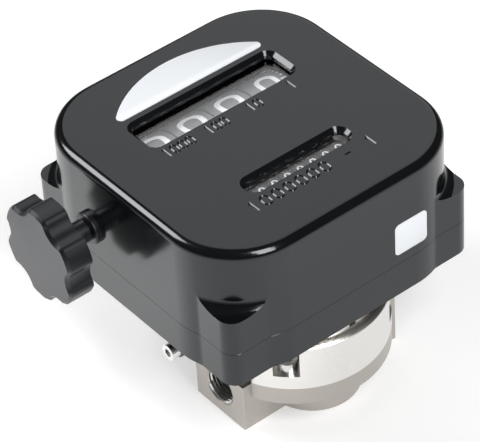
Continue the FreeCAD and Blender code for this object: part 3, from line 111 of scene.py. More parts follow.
def painted_plastic(name, base, rough, peel_mm, ior):
    material, tree = new_finish(name)
    place = add(tree, "ShaderNodeTexCoord").outputs["Object"]
    drift = add(tree, "ShaderNodeTexNoise", {
        "Vector": place, "Scale": per_mm(GLOSS_DRIFT_MM), "Detail": 3.0})
    gloss = add(tree, "ShaderNodeMapRange", {
        "Value": drift.outputs["Fac"], "From Min": 0.3, "From Max": 0.7,
        "To Min": rough - 0.03, "To Max": rough + 0.04})
    peel = add(tree, "ShaderNodeTexNoise", {
        "Vector": place, "Scale": per_mm(peel_mm), "Detail": 2.0})
    bump = add(tree, "ShaderNodeBump", {
        "Height": peel.outputs["Fac"], "Strength": PEEL_STRENGTH, "Distance": PEEL_DEPTH_MM * MM})
    # The bluish specular tint is a painted reflection colour, standing for the tint of what the paint mirrors.
    shader = add(tree, "ShaderNodeBsdfPrincipled", {
        "Base Color": colour(base), "Roughness": gloss.outputs["Result"], "IOR": ior,
        "Specular Tint": colour("#f4f8fd"), "Normal": bump.outputs["Normal"]})
    add(tree, "ShaderNodeOutputMaterial", {"Surface": shader.outputs["BSDF"]})
    return material


housing_black = painted_plastic("semi_gloss_black_paint", "#0d0e10", 0.14, 2.2, 1.55)
knob_black = painted_plastic("moulded_phenolic_black", "#18181a", 0.34, 1.5, 1.6)
print("made", housing_black.name, "and", knob_black.name)

# %% [markdown]
# The cap and the ring were turned on a lathe, so their tool marks run round the axis: rings
# on a flat face, lines on a round side. One number, the distance from the axis plus the
# height, gives both. Real feed marks are about 0.1 mm apart, too fine to show here, so
# they are drawn several times coarser. The body was milled and blasted, which gives a
# softer, greyer shine with a fine grain.

# %% Turned and blasted stainless steel
RELIEF_MM, CLOUD_MM = 0.05, 18


def stainless(name, base, rough, mark_mm, mark_depth, grain_mm):
    material, tree = new_finish(name)
    place = add(tree, "ShaderNodeTexCoord").outputs["Object"]
    flat = add(tree, "ShaderNodeVectorMath", {0: place, 1: (1, 1, 0)}, operation="MULTIPLY")
    radius = add(tree, "ShaderNodeVectorMath", {0: flat.outputs[0]}, operation="LENGTH")
    height = add(tree, "ShaderNodeSeparateXYZ", {0: place})
    along = add(tree, "ShaderNodeMath", {
        0: radius.outputs["Value"], 1: height.outputs["Z"]}, operation="ADD")
    marks = add(tree, "ShaderNodeTexNoise", {
        "W": along.outputs[0], "Scale": per_mm(mark_mm), "Detail": 2.0}, noise_dimensions="1D")
    grain = add(tree, "ShaderNodeTexNoise", {
        "Vector": place, "Scale": per_mm(grain_mm), "Detail": 3.0})
    both = add(tree, "ShaderNodeMath", {
        0: marks.outputs["Fac"], 1: grain.outputs["Fac"]}, operation="ADD")
    bump = add(tree, "ShaderNodeBump", {
        "Height": both.outputs[0], "Strength": mark_depth, "Distance": RELIEF_MM * MM})
    cloud = add(tree, "ShaderNodeTexNoise", {
        "Vector": place, "Scale": per_mm(CLOUD_MM), "Detail": 4.0})
    shine = add(tree, "ShaderNodeMapRange", {
        "Value": cloud.outputs["Fac"], "From Min": 0.3, "From Max": 0.7,
        "To Min": rough - 0.04, "To Max": rough + 0.05})
    shader = add(tree, "ShaderNodeBsdfPrincipled", {
        "Base Color": colour(base), "Metallic": 1.0, "Roughness": shine.outputs["Result"],
        "Normal": bump.outputs["Normal"]})
    add(tree, "ShaderNodeOutputMaterial", {"Surface": shader.outputs["BSDF"]})
    return material


cap_steel = stainless("turned_stainless_steel", "#e7e5e2", 0.30, 0.5, 0.25, 0.4)
body_steel = stainless("blasted_stainless_steel", "#b6b1ab", 0.36, 0.8, 0.2, 0.3)
screw_steel = stainless("bright_stainless_screws", "#d6d6d4", 0.2, 0.6, 0.1, 0.5)
ground_steel = stainless("ground_steel_shafts", "#c0c0c0", 0.25, 0.4, 0.15, 0.5)
print("made", cap_steel.name, body_steel.name, screw_steel.name, ground_steel.name)

# %% [markdown]
# Inside the register are plain engineering materials: punched aluminium plates, brass
# and acetal gears, carbon and rubber, and two moulded plastics for the number wheels. Most
# show only through the windows, so each gets one simple finish with a little grain. The
# knob's shaft is blackened steel. Its oxide skin hides the metal, so it isn't metallic.

# %% Materials of the mechanism
def plain(name, base, rough, metallic=0.0, grain_mm=1.2, relief=0.08):
    material, tree = new_finish(name)
    place = add(tree, "ShaderNodeTexCoord").outputs["Object"]
    grain = add(tree, "ShaderNodeTexNoise", {
        "Vector": place, "Scale": per_mm(grain_mm), "Detail": 4.0})
    shine = add(tree, "ShaderNodeMapRange", {
        "Value": grain.outputs["Fac"], "From Min": 0.3, "From Max": 0.7,
        "To Min": rough - 0.05, "To Max": rough + 0.05})
    bump = add(tree, "ShaderNodeBump", {
        "Height": grain.outputs["Fac"], "Strength": relief, "Distance": RELIEF_MM * MM})
    shader = add(tree, "ShaderNodeBsdfPrincipled", {
        "Base Color": colour(base), "Metallic": metallic, "Roughness": shine.outputs["Result"],
        "Normal": bump.outputs["Normal"]})
    add(tree, "ShaderNodeOutputMaterial", {"Surface": shader.outputs["BSDF"]})
    return material


plate_aluminium = plain("punched_aluminium", "#b9babb", 0.4, metallic=1.0)
gear_brass = plain("cut_brass", "#c9a552", 0.3, metallic=1.0)
gear_acetal = plain("moulded_acetal", "#dcdcd6", 0.45)
bush_carbon = plain("pressed_carbon", "#242425", 0.6)
seal_rubber = plain("nitrile_rubber", "#141414", 0.7)
wheel_plastic = plain("moulded_wheel_grey", "#85878b", 0.5, grain_mm=2.5, relief=0.02)
shaft_black = plain("blackened_steel", "#1b1b1c", 0.4)
small_wheel_plastic = plain("moulded_wheel_dark", "#37383b", 0.5, grain_mm=2.5, relief=0.02)
print("made eight materials for the mechanism")

# %% [markdown]
# The lenses are clear acrylic. Light from a lamp can't find its way through a bending
# surface in a path tracer without long waits, so for the rays that test for shadow the lens
# is simply transparent. Everything else sees an ordinary clear plastic.

# %% Clear lens
def clear_acrylic():
    material, tree = new_finish("clear_acrylic")
    path = add(tree, "ShaderNodeLightPath")
    glass = add(tree, "ShaderNodeBsdfPrincipled", {
        "Base Color": WHITE, "Roughness": 0.03, "IOR": 1.49, "Transmission Weight": 1.0})
    clear = add(tree, "ShaderNodeBsdfTransparent", {"Color": WHITE})
    mix = add(tree, "ShaderNodeMixShader", {
        0: path.outputs["Is Shadow Ray"], 1: glass.outputs["BSDF"], 2: clear.outputs["BSDF"]})
    add(tree, "ShaderNodeOutputMaterial", {"Surface": mix.outputs["Shader"]})
    return material


lens_acrylic = clear_acrylic()
print("made", lens_acrylic.name)

# %% [markdown]
# White comes in two kinds here: the printed figures and the vinyl of the two blank plates.
# Print is thin and dull, vinyl is smooth with a faint sheen.

# %% Whites
print_white = plain("screen_printed_white", "#f3f5f8", 0.5, grain_mm=0.5)
plate_white = plain("white_vinyl", "#f3f6fa", 0.35, grain_mm=3.0)
print("made", print_white.name, "and", plate_white.name)

# %% [markdown]
# Each piece of the frame now takes its finish. The record says which material slot a piece
# belongs to, so one table from slot to finish dresses nearly all of them. The small counter
# wheels, darker than the large ones, and the blackened shaft have a finish of their own.

# %% Dress the frame
FINISH = {
    "body_steel": body_steel, "cap_steel": cap_steel, "screw_steel": screw_steel,
    "housing_black": housing_black, "knob_black": knob_black, "lens": lens_acrylic,
    "rotor_steel": ground_steel, "bush_carbon": bush_carbon, "seal": seal_rubber,
    "plate": plate_aluminium, "gear_brass": gear_brass, "gear_white": gear_acetal,
    "wheel_grey": wheel_plastic,
}
SMALL_WHEELS = range(1, 8)
own_finish = {"counter_wheel_%d" % number: small_wheel_plastic for number in SMALL_WHEELS}
own_finish["reset_shaft"] = shaft_black
slots = {part["node"]: part["material_slot"] for part in frame["record"]["subparts"]}
for name, obj in nodes.items():
    obj.data.materials.clear()
    obj.data.materials.append(own_finish.get(name, FINISH[slots[name]]))
used = {obj.data.materials[0].name for obj in nodes.values()}
print("dressed", len(nodes), "pieces in", len(used), "finishes")

# %% [markdown]
# Pieces made here are meshes from a list of points in millimetres. Small helpers put an
# object in the scene, turn its faces outward, round its shading except at sharp edges, and
# let it ride on a body of the frame.

# %% Mesh helpers
def put(name, data):
    obj = bpy.data.objects.new(name, data)
    bpy.context.scene.collection.objects.link(obj)
    return obj


def solid_mesh(name, points, faces):
    """A mesh from points in millimetres, with its faces turned outward."""
    mesh = bpy.data.meshes.new(name)
    mesh.from_pydata([Vector(p) * MM for p in points], [], faces)
    mesh.validate()
    work = bmesh.new()
    work.from_mesh(mesh)
    bmesh.ops.recalc_face_normals(work, faces=work.faces)
    work.to_mesh(mesh)
    work.free()
    return mesh


def make_piece(name, points, faces, finish, body, slot, sharp_deg=35):
    mesh = solid_mesh(name, points, faces)
    mesh.shade_smooth()
    mesh.set_sharp_from_angle(angle=math.radians(sharp_deg))
    obj = put(name, mesh)
    mesh.materials.append(finish)
    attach(obj, body)
    return obj


def box_mm(node):
    low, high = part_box(node)
    return low / MM, high / MM


print("register top at", round(box_mm("register_cover")[1].z, 2), "mm")

# %% [markdown]
# Two patterns of faces come back all through this lesson. A row of four-sided sections makes
# a ribbon, a groove or a thread. A stack of outlines with the same number of points makes a
# plate or a lens. A third helper joins several such solids in one mesh.

# %% Faces of rows and stacks
def row_faces(count, closed):
    """Faces along a row of four-sided sections, with ends unless the row closes on itself."""
    faces = []
    for k in range(count if closed else count - 1):
        a, b = 4 * k, 4 * ((k + 1) % count)
        faces += [(a + j, a + (j + 1) % 4, b + (j + 1) % 4, b + j) for j in range(4)]
    if not closed:
        faces += [(0, 1, 2, 3), tuple(4 * (count - 1) + j for j in (3, 2, 1, 0))]
    return faces


def stack_faces(count, levels):
    """Faces between stacked outlines of that many points each."""
    faces = []
    for start in range(0, (levels - 1) * count, count):
        for k in range(count):
            j = (k + 1) % count
            faces.append((start + k, start + j, start + count + j, start + count + k))
    return faces


def joined(solids):
    """The points and faces of several solids as one list of each."""
    points, faces = [], []
    for more, ring in solids:
        faces += [tuple(len(points) + v for v in face) for face in ring]
        points += more
    return points, faces


print("a ribbon of two sections has", len(row_faces(2, False)), "faces")

# %% [markdown]
# The figures are drawn as pen strokes: each is one or two lines and arcs on a grid from
# -0.5 to 0.5. The same ten drawings serve the large wheels, the small wheels and the
# engraving. A nine is a six turned round.

# %% Ten figures as strokes
def arc(x, y, rx, ry, start, end, steps=14):
    angles = [math.radians(start + (end - start) * k / steps) for k in range(steps + 1)]
    return [(x + rx * math.cos(a), y + ry * math.sin(a)) for a in angles]


def turned(strokes):
    return [[(-x, -y) for x, y in stroke] for stroke in strokes]


SIX = [arc(0, 0.12, 0.5, 0.38, 40, 180) + arc(0, -0.18, 0.5, 0.32, 180, 540, 28)]
FIGURES = {
    "0": [arc(0, 0.12, 0.5, 0.38, 0, 180) + arc(0, -0.12, 0.5, 0.38, 180, 360) + [(0.5, 0.12)]],
    "1": [[(-0.3, 0.28), (0.05, 0.5), (0.05, -0.5)]],
    "2": [arc(0, 0.2, 0.5, 0.3, 165, -35) + [(-0.5, -0.5), (0.5, -0.5)]],
    "3": [arc(-0.02, 0.26, 0.46, 0.24, 150, -90) + arc(0, -0.24, 0.5, 0.26, 90, -150)],
    "4": [[(0.22, -0.5), (0.22, 0.5), (-0.5, -0.22), (0.5, -0.22)]],
    "5": [[(0.42, 0.5), (-0.36, 0.5), (-0.42, 0.04)] + arc(0, -0.17, 0.5, 0.33, 135, -150)],
    "6": SIX,
    "7": [[(-0.5, 0.5), (0.5, 0.5), (-0.12, -0.5)]],
    "8": [arc(0, 0.26, 0.42, 0.24, -90, 270, 24), arc(0, -0.24, 0.5, 0.26, 90, 450, 24)],
    "9": turned(SIX),
    "-": [[(-0.4, 0), (0.4, 0)]],
}
print("figures drawn:", " ".join(sorted(FIGURES)))

# %% [markdown]
# A stroke becomes a flat ribbon of even width. At each point the ribbon's side lies along
# the mitre, halfway between the directions before and after. A sharp corner would throw the
# mitre far out, so its reach is limited.

# %% Strokes to ribbons
MITRE_LIMIT = 0.45


def edges_of(stroke, width):
    """The two sides of a ribbon of that width along a stroke, and whether it closes."""
    line = [Vector(p) for p in stroke]
    line = [p for k, p in enumerate(line) if k == 0 or (p - line[k - 1]).length > 1e-4 * width]
    closed = (line[0] - line[-1]).length < 0.05 * width
    if closed:
        line.pop()
    count = len(line)
    left, right = [], []
    for k, p in enumerate(line):
        before = line[k - 1] if k or closed else None
        after = line[(k + 1) % count] if k < count - 1 or closed else None
        spans = (p - before if before else None, after - p if after else None)
        ways = [span.normalized() for span in spans if span]
        way = (ways[0] + ways[-1]).normalized()
        out = Vector((-way.y, way.x))
        square = Vector((-ways[0].y, ways[0].x))
        reach = width / 2 / max(MITRE_LIMIT, abs(out.dot(square)))
        left.append(p + out * reach)
        right.append(p - out * reach)
    return left, right, closed


def ribbon_solid(left, right, closed, lift):
    """Points and faces of a ribbon as a thin closed solid; lift turns a flat point into space."""
    points = []
    for side_a, side_b in zip(left, right):
        points += [lift(side_a, 1), lift(side_b, 1), lift(side_b, 0), lift(side_a, 0)]
    return points, row_faces(len(left), closed)


print("a zero is a ribbon of", len(edges_of(FIGURES["0"][0], 0.1)[0]), "sections")

# %% [markdown]
# A wheel carries its figures round the rim, a tenth of a turn apart, with the figure's top
# away from the reader. The ribbon is wrapped onto the rim and stands a little proud of
# it, like a thick print. The wheel turns towards the reader, so the next figure up comes
# from behind. A figure's size is its width, height and stroke in millimetres, and then the
# degrees by which it stands behind the top of the wheel.

# %% Wrap figures round the wheels
PRINT_HEIGHT, PRINT_SUNK = 0.12, 0.05
BIG_FIGURE, BIG_ASIDE = (14.6, 15.5, 3.0, 5.5), 0.5
UNITS_FIGURE, UNITS_ASIDE = (12.0, 15.0, 2.6, 4.0), 1.0
SMALL_FIGURE = (3.8, 7.0, 0.85, -6)


def wheel_axis(joint):
    return Vector(joints[joint]["pos_m"]) / MM


def onto_rim(axis, radius, middle_x, turn):
    def lift(spot, top):
        angle = turn + spot.y / radius
        r = radius + (PRINT_HEIGHT if top else -PRINT_SUNK)
        return (middle_x + spot.x, axis.y + r * math.sin(angle), axis.z + r * math.cos(angle))
    return lift


def wheel_figures(node, joint, body, middle, wide, tall, stroke, behind):
    axis = wheel_axis(joint)
    radius = box_mm(node)[1].z - axis.z
    solids = []
    for digit in range(10):
        lift = onto_rim(axis, radius, middle, math.radians(digit * 36 + behind))
        for line in FIGURES[str(digit)]:
            scaled = [(x * (wide - stroke), y * (tall - stroke)) for x, y in line]
            solids.append(ribbon_solid(*edges_of(scaled, stroke), lift))
    return make_piece("figures_" + node, *joined(solids), print_white, body, "wheel_grey")


BIG = ("thousands", "hundreds", "tens", "units")
for name in BIG:
    size, aside = (UNITS_FIGURE, UNITS_ASIDE) if name == "units" else (BIG_FIGURE, BIG_ASIDE)
    middle = wheel_axis(name + "_spin").x + aside
    wheel_figures("wheel_" + name, name + "_spin", "wheel_" + name, middle, *size)
for number in SMALL_WHEELS:
    body = "counter_shaft" if number == SMALL_WHEELS[-1] else "counter_%d" % number
    low, high = box_mm("counter_wheel_%d" % number)
    middle = (low.x + high.x) / 2
    wheel_figures("counter_wheel_%d" % number, body + "_spin", body, middle, *SMALL_FIGURE)
print("figures on", len(BIG) + len(SMALL_WHEELS), "wheels")

# %% [markdown]
# The units wheel is read to a fifth: at its right edge a long tick stands beside each
# figure, with four short ones to the next. A tick is the plainest stroke, a single line.

# %% Ticks on the units wheel
TICKS, TICKS_PER_FIGURE = 50, 5
TICK_EDGE, TICK_WIDE, LONG_TICK, SHORT_TICK = 46.3, 0.9, 3.2, 1.5


def unit_ticks():
    axis = wheel_axis("units_spin")
    radius = box_mm("wheel_units")[1].z - axis.z
    solids = []
    for tick in range(TICKS):
        length = SHORT_TICK if tick % TICKS_PER_FIGURE else LONG_TICK
        lift = onto_rim(axis, radius, TICK_EDGE, tick * math.tau / TICKS)
        solids.append(ribbon_solid(*edges_of([(-length, 0), (0, 0)], TICK_WIDE), lift))
    return make_piece("ticks_wheel_units", *joined(solids), print_white, "wheel_units", "wheel_grey")


unit_ticks()
print(TICKS, "ticks on the units wheel")

# %% [markdown]
# The ports hold a female pipe thread, 1.814 mm from crest to crest. A thread is one ridge
# wound along a helix, so four points of its section are carried round the bore. It has the
# brighter finish of the screws, lighter than the blasted body round it: painted light that
# lifts the thread out of the shade inside the bore.

# %% Threads in the ports
THREAD_PITCH, THREAD_PAST, STEPS_PER_TURN = 1.814, 0.4, 72
RIDGE_HEIGHT, RIDGE_SUNK, RIDGE_FOOT, RIDGE_CREST = 0.8, 0.05, 0.72, 0.15


def port_thread(name, mount, way):
    place = Vector(mount["pos_m"]) / MM
    bore = mount["dims"]["r_mm"]
    length = mount["dims"]["length_mm"] + THREAD_PAST
    section = [(-RIDGE_FOOT, bore + RIDGE_SUNK), (-RIDGE_CREST, bore - RIDGE_HEIGHT),
               (RIDGE_CREST, bore - RIDGE_HEIGHT), (RIDGE_FOOT, bore + RIDGE_SUNK)]
    steps = int(length / THREAD_PITCH * STEPS_PER_TURN)
    points = []
    for k in range(steps + 1):
        angle = k * math.tau / STEPS_PER_TURN
        x = place.x + way * (k * THREAD_PITCH / STEPS_PER_TURN - length / 2)
        points += [(x + dx, place.y + r * math.cos(angle), place.z + r * math.sin(angle))
                   for dx, r in section]
    faces = row_faces(steps + 1, False)
    # The screws' brighter finish on the thread is painted light against the shade of the bore.
    return make_piece(name, points, faces, screw_steel, "meter", "body_steel")


mounts = {mount["name"]: mount for mount in frame["record"]["mounts"]}
port_thread("thread_left", mounts["port_left"], -1)
port_thread("thread_right", mounts["port_right"], 1)
print("threads", THREAD_PITCH, "mm apart")

# %% [markdown]
# Two plain white plates sit on the housing: a half-moon behind the large window and a
# small rounded one on the front. An outline is filled and given a little thickness, with
# a narrow bevel so that its edge catches the light.

# %% White plates
PLATE_THICK, PLATE_BEVEL, PLATE_BEVEL_DEEP = 0.35, 0.2, 0.1
MOON_CHORD_Y, MOON_HALF, MOON_RISE, MOON_TIP = 72.2, 48.2, 22.0, 2.6
FRONT_X, FRONT_Z, FRONT_WIDE, FRONT_TALL, FRONT_CORNER = 34.4, 99.6, 20.2, 18.8, 2.6


def plate(name, outline, lift):
    """A thin plate: outline in its own plane, lift turns a point and a height into space."""
    rim = [Vector(p) for p in outline]
    count = len(rim)
    middle = sum(rim, Vector((0, 0))) / count
    face = [p + (middle - p).normalized() * PLATE_BEVEL for p in rim]
    points = [lift(p, 0) for p in rim]
    points += [lift(p, PLATE_THICK - PLATE_BEVEL_DEEP) for p in rim]
    points += [lift(p, PLATE_THICK) for p in face]
    faces = [tuple(reversed(range(count))), tuple(range(2 * count, 3 * count))]
    faces += stack_faces(count, 3)
    return make_piece(name, points, faces, plate_white, "meter", "housing_black", sharp_deg=50)


def half_moon(half_chord, rise, tip):
    """A circle's segment with its two tips rounded, chord along X at y = 0."""
    radius = (half_chord ** 2 + rise ** 2) / (2 * rise)
    drop = radius - rise
    tip_x = math.sqrt((radius - tip) ** 2 - (drop + tip) ** 2)
    lean = math.degrees(math.atan2(drop + tip, tip_x))
    outline = arc(tip_x, tip, tip, tip, -90, lean, 10)
    outline += arc(0, -drop, radius, radius, lean, 180 - lean, 48)[1:-1]
    outline += arc(-tip_x, tip, tip, tip, 180 - lean, 270, 10)
    return outline


def rounded(wide, tall, r):
    """A rectangle round the origin with its corners rounded."""
    corners = ((1, -1, -90), (1, 1, 0), (-1, 1, 90), (-1, -1, 180))
    spots = []
    for i, j, start in corners:
        spots += arc(i * (wide / 2 - r), j * (tall / 2 - r), r, r, start, start + 90, 8)
    return spots


cover_low, cover_high = box_mm("register_cover")
plate("blank_half_moon", half_moon(MOON_HALF, MOON_RISE, MOON_TIP),
      lambda p, up: (p.x, MOON_CHORD_Y + p.y, cover_high.z + up))
plate("blank_front_plate", rounded(FRONT_WIDE, FRONT_TALL, FRONT_CORNER),
      lambda p, up: (FRONT_X + p.x, cover_low.y - up, FRONT_Z + p.y))
print("two blank plates,", PLATE_THICK, "mm thick")

# %% [markdown]
# Each lens is moulded with a step: a full rim, which is clamped under the cover, round a
# field that lies a little lower. It stands for the plain lens of the frame. Two rounded
# outlines, one inside the other, give the rim and the field.

# %% Stepped lenses
LENS_RIM, LENS_STEP, LENS_CORNER = 1.6, 0.9, 0.5


def stepped_lens(node):
    low, high = box_mm(node)
    middle, size = (low + high) / 2, high - low
    outer = rounded(size.x, size.y, LENS_CORNER)
    inner = rounded(size.x - 2 * LENS_RIM, size.y - 2 * LENS_RIM, LENS_CORNER)
    rings = ((outer, low.z), (outer, high.z), (inner, high.z), (inner, high.z - LENS_STEP))
    points = [(middle.x + x, middle.y + y, z) for ring, z in rings for x, y in ring]
    count = len(outer)
    faces = [tuple(range(count)), tuple(range(3 * count, 4 * count))]
    faces += stack_faces(count, len(rings))
    lens = make_piece("stepped_" + node, points, faces, lens_acrylic, "meter", "lens")
    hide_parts(node)
    return lens


for node in ("big_window", "small_window"):
    print("made", stepped_lens(node).name, "with its field", LENS_STEP, "mm below the rim")

# %% [markdown]
# Below each window a row of numbers is cut into the top. A pointed cutter leaves a shallow
# groove in the form of a V, so each stroke becomes a ribbon with a narrow floor, and its
# sloping sides mirror the lamps as a bright line. The cutter reaches a little above the top,
# because two faces in one plane are hard to cut cleanly.

# %% Grooves for a row of numbers
GROOVE_TOP, GROOVE_FLOOR, GROOVE_DEPTH, GROOVE_OVER = 1.15, 0.1, 0.46, 0.1


def groove_solid(stroke, top_z):
    above = GROOVE_TOP + (GROOVE_TOP - GROOVE_FLOOR) * GROOVE_OVER / GROOVE_DEPTH
    wide, narrow = edges_of(stroke, above), edges_of(stroke, GROOVE_FLOOR)
    points = []
    for a, b, c, d in zip(wide[0], wide[1], narrow[1], narrow[0]):
        points += [(a.x, a.y, top_z + GROOVE_OVER), (b.x, b.y, top_z + GROOVE_OVER)]
        points += [(c.x, c.y, top_z - GROOVE_DEPTH), (d.x, d.y, top_z - GROOVE_DEPTH)]
    return points, row_faces(len(wide[0]), wide[2])


def number_row(text, middle_x, base_y, advance, wide, tall, top_z):
    solids = []
    start = middle_x - advance * (len(text) - 1) / 2
    for place, sign in enumerate(text):
        for line in FIGURES.get(sign, []):
            stroke = [(start + place * advance + x * wide, base_y + (y + 0.5) * tall)
                      for x, y in line]
            solids.append(groove_solid(stroke, top_z))
    return joined(solids)


print("grooves", GROOVE_TOP, "mm wide and", GROOVE_DEPTH, "mm deep")

# %% [markdown]
# Cutting leaves the flat top in long thin triangles. Smooth shading mixes the faces that meet
# at a point, and slivers would spoil the mix and smear the gloss. So each flat region first
# adds up its whole area, and its normal then counts with that area, however many triangles
# it was cut into. Edges sharper than the limit stay sharp.

# %% Even normals
SHARP_DEG, SAME_PLANE = 28, 0.999999


def flat_regions(net):
    """The number of the flat region that each face belongs to, and the regions' areas."""
    region, areas = {}, []
    for first in net.faces:
        if first.index in region:
            continue
        queue, total = [first], 0.0
        region[first.index] = len(areas)
        while queue:
            face = queue.pop()
            total += face.calc_area()
            for edge in face.edges:
                for other in edge.link_faces:
                    if other.index not in region and other.normal.dot(face.normal) > SAME_PLANE:
                        region[other.index] = len(areas)
                        queue.append(other)
        areas.append(total)
    return region, areas


def even_normals(mesh):
    net = bmesh.new()
    net.from_mesh(mesh)
    net.faces.ensure_lookup_table()
    region, areas = flat_regions(net)
    limit, normals = math.cos(math.radians(SHARP_DEG)), []
    for face in net.faces:
        for vert in face.verts:
            near = {region[f.index]: f.normal for f in vert.link_faces
                    if f.normal.dot(face.normal) > limit}
            near[region[face.index]] = face.normal
            total = sum((normal * areas[r] for r, normal in near.items()), Vector())
            normals.append(total.normalized())
    net.free()
    mesh.shade_smooth()
    mesh.normals_split_custom_set(normals)
    return len(areas)


print("edges over", SHARP_DEG, "degrees stay sharp")

# %% [markdown]
# All strokes together are taken from a copy of the cover, which then stands for the cover.
# The copy is welded first, because a boolean needs a closed skin. The numbers give the value
# of each large wheel, and the first and last place of the long counter.

# %% Engrave the cover
WELD_M = 1e-6
BIG_ROW = {"base_y": 35.8, "advance": 4.8, "wide": 3.1, "tall": 6.2}
LONG_ROW = {"middle_x": -0.5, "base_y": -23.0, "advance": 7.2, "wide": 4.2, "tall": 7.0}


def welded_copy(mesh):
    copy = mesh.copy()
    work = bmesh.new()
    work.from_mesh(copy)
    bmesh.ops.remove_doubles(work, verts=work.verts, dist=WELD_M)
    print("open edges in the cover:", sum(not edge.is_manifold for edge in work.edges))
    work.to_mesh(copy)
    work.free()
    return copy


def engraved_cover(rows):
    cutter = put("grooves", solid_mesh("grooves", *joined(rows)))
    cover = put("engraved_cover", welded_copy(nodes["register_cover"].data))
    cut = cover.modifiers.new("engrave", "BOOLEAN")
    cut.operation, cut.solver, cut.object = "DIFFERENCE", "EXACT", cutter
    bpy.context.view_layer.update()
    ready = cover.evaluated_get(bpy.context.evaluated_depsgraph_get())
    cover.data = bpy.data.meshes.new_from_object(ready)
    cover.modifiers.clear()
    bpy.data.objects.remove(cutter)
    print("flat regions and strips:", even_normals(cover.data))
    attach(cover, "meter")
    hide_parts("register_cover")
    return cover


rows = [number_row(label, wheel_axis(name + "_spin").x, top_z=cover_high.z, **BIG_ROW)
        for name, label in zip(BIG, ("1000", "100", "10", "1"))]
rows.append(number_row("1000000 - 1", top_z=cover_high.z, **LONG_ROW))
cover = engraved_cover(rows)
print("engraved cover has", len(cover.data.polygons), "faces")

# %% [markdown]
# The picture is taken from the left front, well above, with a long lens. The camera's
# numbers were found by matching the square top of the register and the ports.

# %% Camera
AZIMUTH, ELEVATION, ROLL = -36.92, 41.0, -3.63
DISTANCE, SHIFT_X, SHIFT_Y = 1428.19, 3.67, 46.64
FOCAL_PX, IMAGE_WIDE, SENSOR = 2969.45, 480, 36.0
TARGET = Vector((0, (cover_low.y + cover_high.y) / 2, cover_high.z))


def make_camera():
    a, e, r = (math.radians(v) for v in (AZIMUTH, ELEVATION, ROLL))
    back = Vector((math.sin(a) * math.cos(e), -math.cos(a) * math.cos(e), math.sin(e)))
    level = Vector((math.cos(a), math.sin(a), 0))
    rise = back.cross(level)
    right = math.cos(r) * level + math.sin(r) * rise
    up = -math.sin(r) * level + math.cos(r) * rise
    spot = TARGET + back * DISTANCE - right * SHIFT_X - up * SHIFT_Y
    data = bpy.data.cameras.new("camera")
    data.sensor_width = SENSOR
    data.lens = SENSOR * FOCAL_PX / IMAGE_WIDE
    camera = put("camera", data)
    turn = Matrix((right, up, back)).transposed()
    camera.matrix_world = Matrix.Translation(spot * MM) @ turn.to_4x4()
    bpy.context.scene.camera = camera
    return camera


camera = make_camera()
print("lens", round(camera.data.lens, 1), "mm")

# %% [markdown]
# The meter stands on a white sweep. Near the meter the sweep glows a little to the camera,
# in reflections and through the lenses, so that it shows white and still takes the shadow.
# Further out the glow fades and the sweep's own colour turns grey, a painted falloff of light.
# The rounded edges of the housing mirror that far part, and its painted shade leaves them dark.

# %% Floor and world
FLOOR_HALF, SWEEP_LIT, SWEEP_FADED = 4.0, 0.36, 0.60
# The grey of the sweep far out is painted shade, a darker far floor for the housing's edges to mirror.
SWEEP_GLOW, FAR_GLOW, SWEEP_WHITE, FAR_PAINTED_SHADE = 0.34, 0.06, 0.85, 0.45
WORLD_GLOW = 0.06


def sweep_paint():
    material, tree = new_finish("white_sweep")
    path = add(tree, "ShaderNodeLightPath").outputs
    seen = add(tree, "ShaderNodeMath", {
        0: path["Is Camera Ray"], 1: path["Is Glossy Ray"]}, operation="MAXIMUM")
    shown = add(tree, "ShaderNodeMath", {
        0: seen.outputs[0], 1: path["Is Transmission Ray"]}, operation="MAXIMUM")
    place = add(tree, "ShaderNodeTexCoord").outputs["Object"]
    away = add(tree, "ShaderNodeVectorMath", {0: place}, operation="LENGTH").outputs["Value"]
    near = add(tree, "ShaderNodeMapRange", {
        "Value": away, "From Min": SWEEP_LIT, "From Max": SWEEP_FADED,
        "To Min": SWEEP_GLOW, "To Max": FAR_GLOW})
    # The sweep's colour fades from white to grey away from the meter: painted shade, a painted falloff of light.
    shade = add(tree, "ShaderNodeMapRange", {
        "Value": away, "From Min": SWEEP_LIT, "From Max": SWEEP_FADED,
        "To Min": SWEEP_WHITE, "To Max": FAR_PAINTED_SHADE})
    glow = add(tree, "ShaderNodeMath", {
        0: shown.outputs[0], 1: near.outputs["Result"]}, operation="MULTIPLY")
    lit = add(tree, "ShaderNodeBsdfDiffuse", {"Color": shade.outputs["Result"]})
    own = add(tree, "ShaderNodeEmission", {"Color": WHITE, "Strength": glow.outputs[0]})
    both = add(tree, "ShaderNodeAddShader", {0: lit.outputs[0], 1: own.outputs[0]})
    add(tree, "ShaderNodeOutputMaterial", {"Surface": both.outputs[0]})
    return material


def make_floor():
    corners = ((-1, -1), (1, -1), (1, 1), (-1, 1))
    mesh = bpy.data.meshes.new("floor")
    mesh.from_pydata([(i * FLOOR_HALF, j * FLOOR_HALF, 0) for i, j in corners], [], [(0, 1, 2, 3)])
    floor = put("floor", mesh)
    mesh.materials.append(sweep_paint())


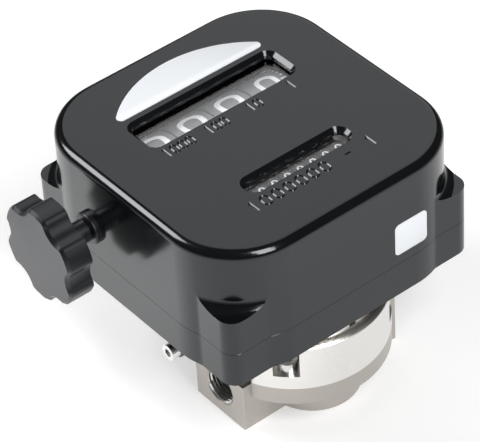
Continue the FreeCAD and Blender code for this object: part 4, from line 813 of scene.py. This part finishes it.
def make_world():
    world = bpy.data.worlds.new("studio")
    bpy.context.scene.world = world
    world.use_nodes = True
    tree = world.node_tree
    tree.nodes.clear()
    back = add(tree, "ShaderNodeBackground", {"Color": WHITE, "Strength": WORLD_GLOW})
    add(tree, "ShaderNodeOutputWorld", {"Surface": back.outputs[0]})


make_floor()
make_world()
print("floor", 2 * FLOOR_HALF, "m wide, white to", SWEEP_LIT, "m from the meter's axis")

# %% [markdown]
# Three soft boxes light the meter. One at the left back draws the bright line along the left
# edge. A large dim panel at the right back is what the flat top mirrors. A tall narrow box in
# front lights the front side. What is between them stays dark and gives the black bands
# round the edges. A narrow spot misses the meter and brightens a patch of the sweep at the
# left.

# %% Lamps
SPOT_BLEND, SPOT_SOFT = 0.8, 0.02


def hang(name, data, place, back):
    """A lamp at a place in metres, turned so that it shines against the direction back."""
    lamp = put(name, data)
    lamp.location = place
    lamp.rotation_mode = "QUATERNION"
    lamp.rotation_quaternion = back.to_track_quat("Z", "Y")
    lamp.visible_camera = False


def make_lamp(name, toward, distance, wide, tall, radiance):
    """A soft box in the direction toward, seen from the register's top, facing it."""
    data = bpy.data.lights.new(name, "AREA")
    data.shape = "RECTANGLE"
    data.size, data.size_y = wide, tall
    data.energy = radiance * math.pi * wide * tall
    way = Vector(toward).normalized()
    hang(name, data, TARGET * MM + way * distance, way)


def make_spot(name, place, aim, cone_deg, power):
    """A narrow spot that lights a patch of the sweep and misses the meter."""
    data = bpy.data.lights.new(name, "SPOT")
    data.energy, data.spot_size, data.spot_blend = power, math.radians(cone_deg), SPOT_BLEND
    data.shadow_soft_size = SPOT_SOFT
    hang(name, data, Vector(place) * MM, Vector(place) - Vector(aim))


make_lamp("soft_box_left_back", toward=(-0.47, 0.64, 0.60), distance=1.3,
          wide=0.62, tall=0.64, radiance=10.0)
make_lamp("panel_right_back", toward=(0.545, 0.535, 0.645), distance=1.5,
          wide=0.94, tall=1.5, radiance=0.98)
make_lamp("tall_box_front", toward=(-0.067, -0.763, 0.643), distance=1.2,
          wide=0.42, tall=0.90, radiance=10.6)
make_spot("spot_on_sweep_left", place=(-300, 200, 900), aim=(-175, 135, 0),
          cone_deg=16.0, power=12.0)
bpy.context.scene.view_settings.view_transform = "Standard"
print("lamps:", len(bpy.data.lights))
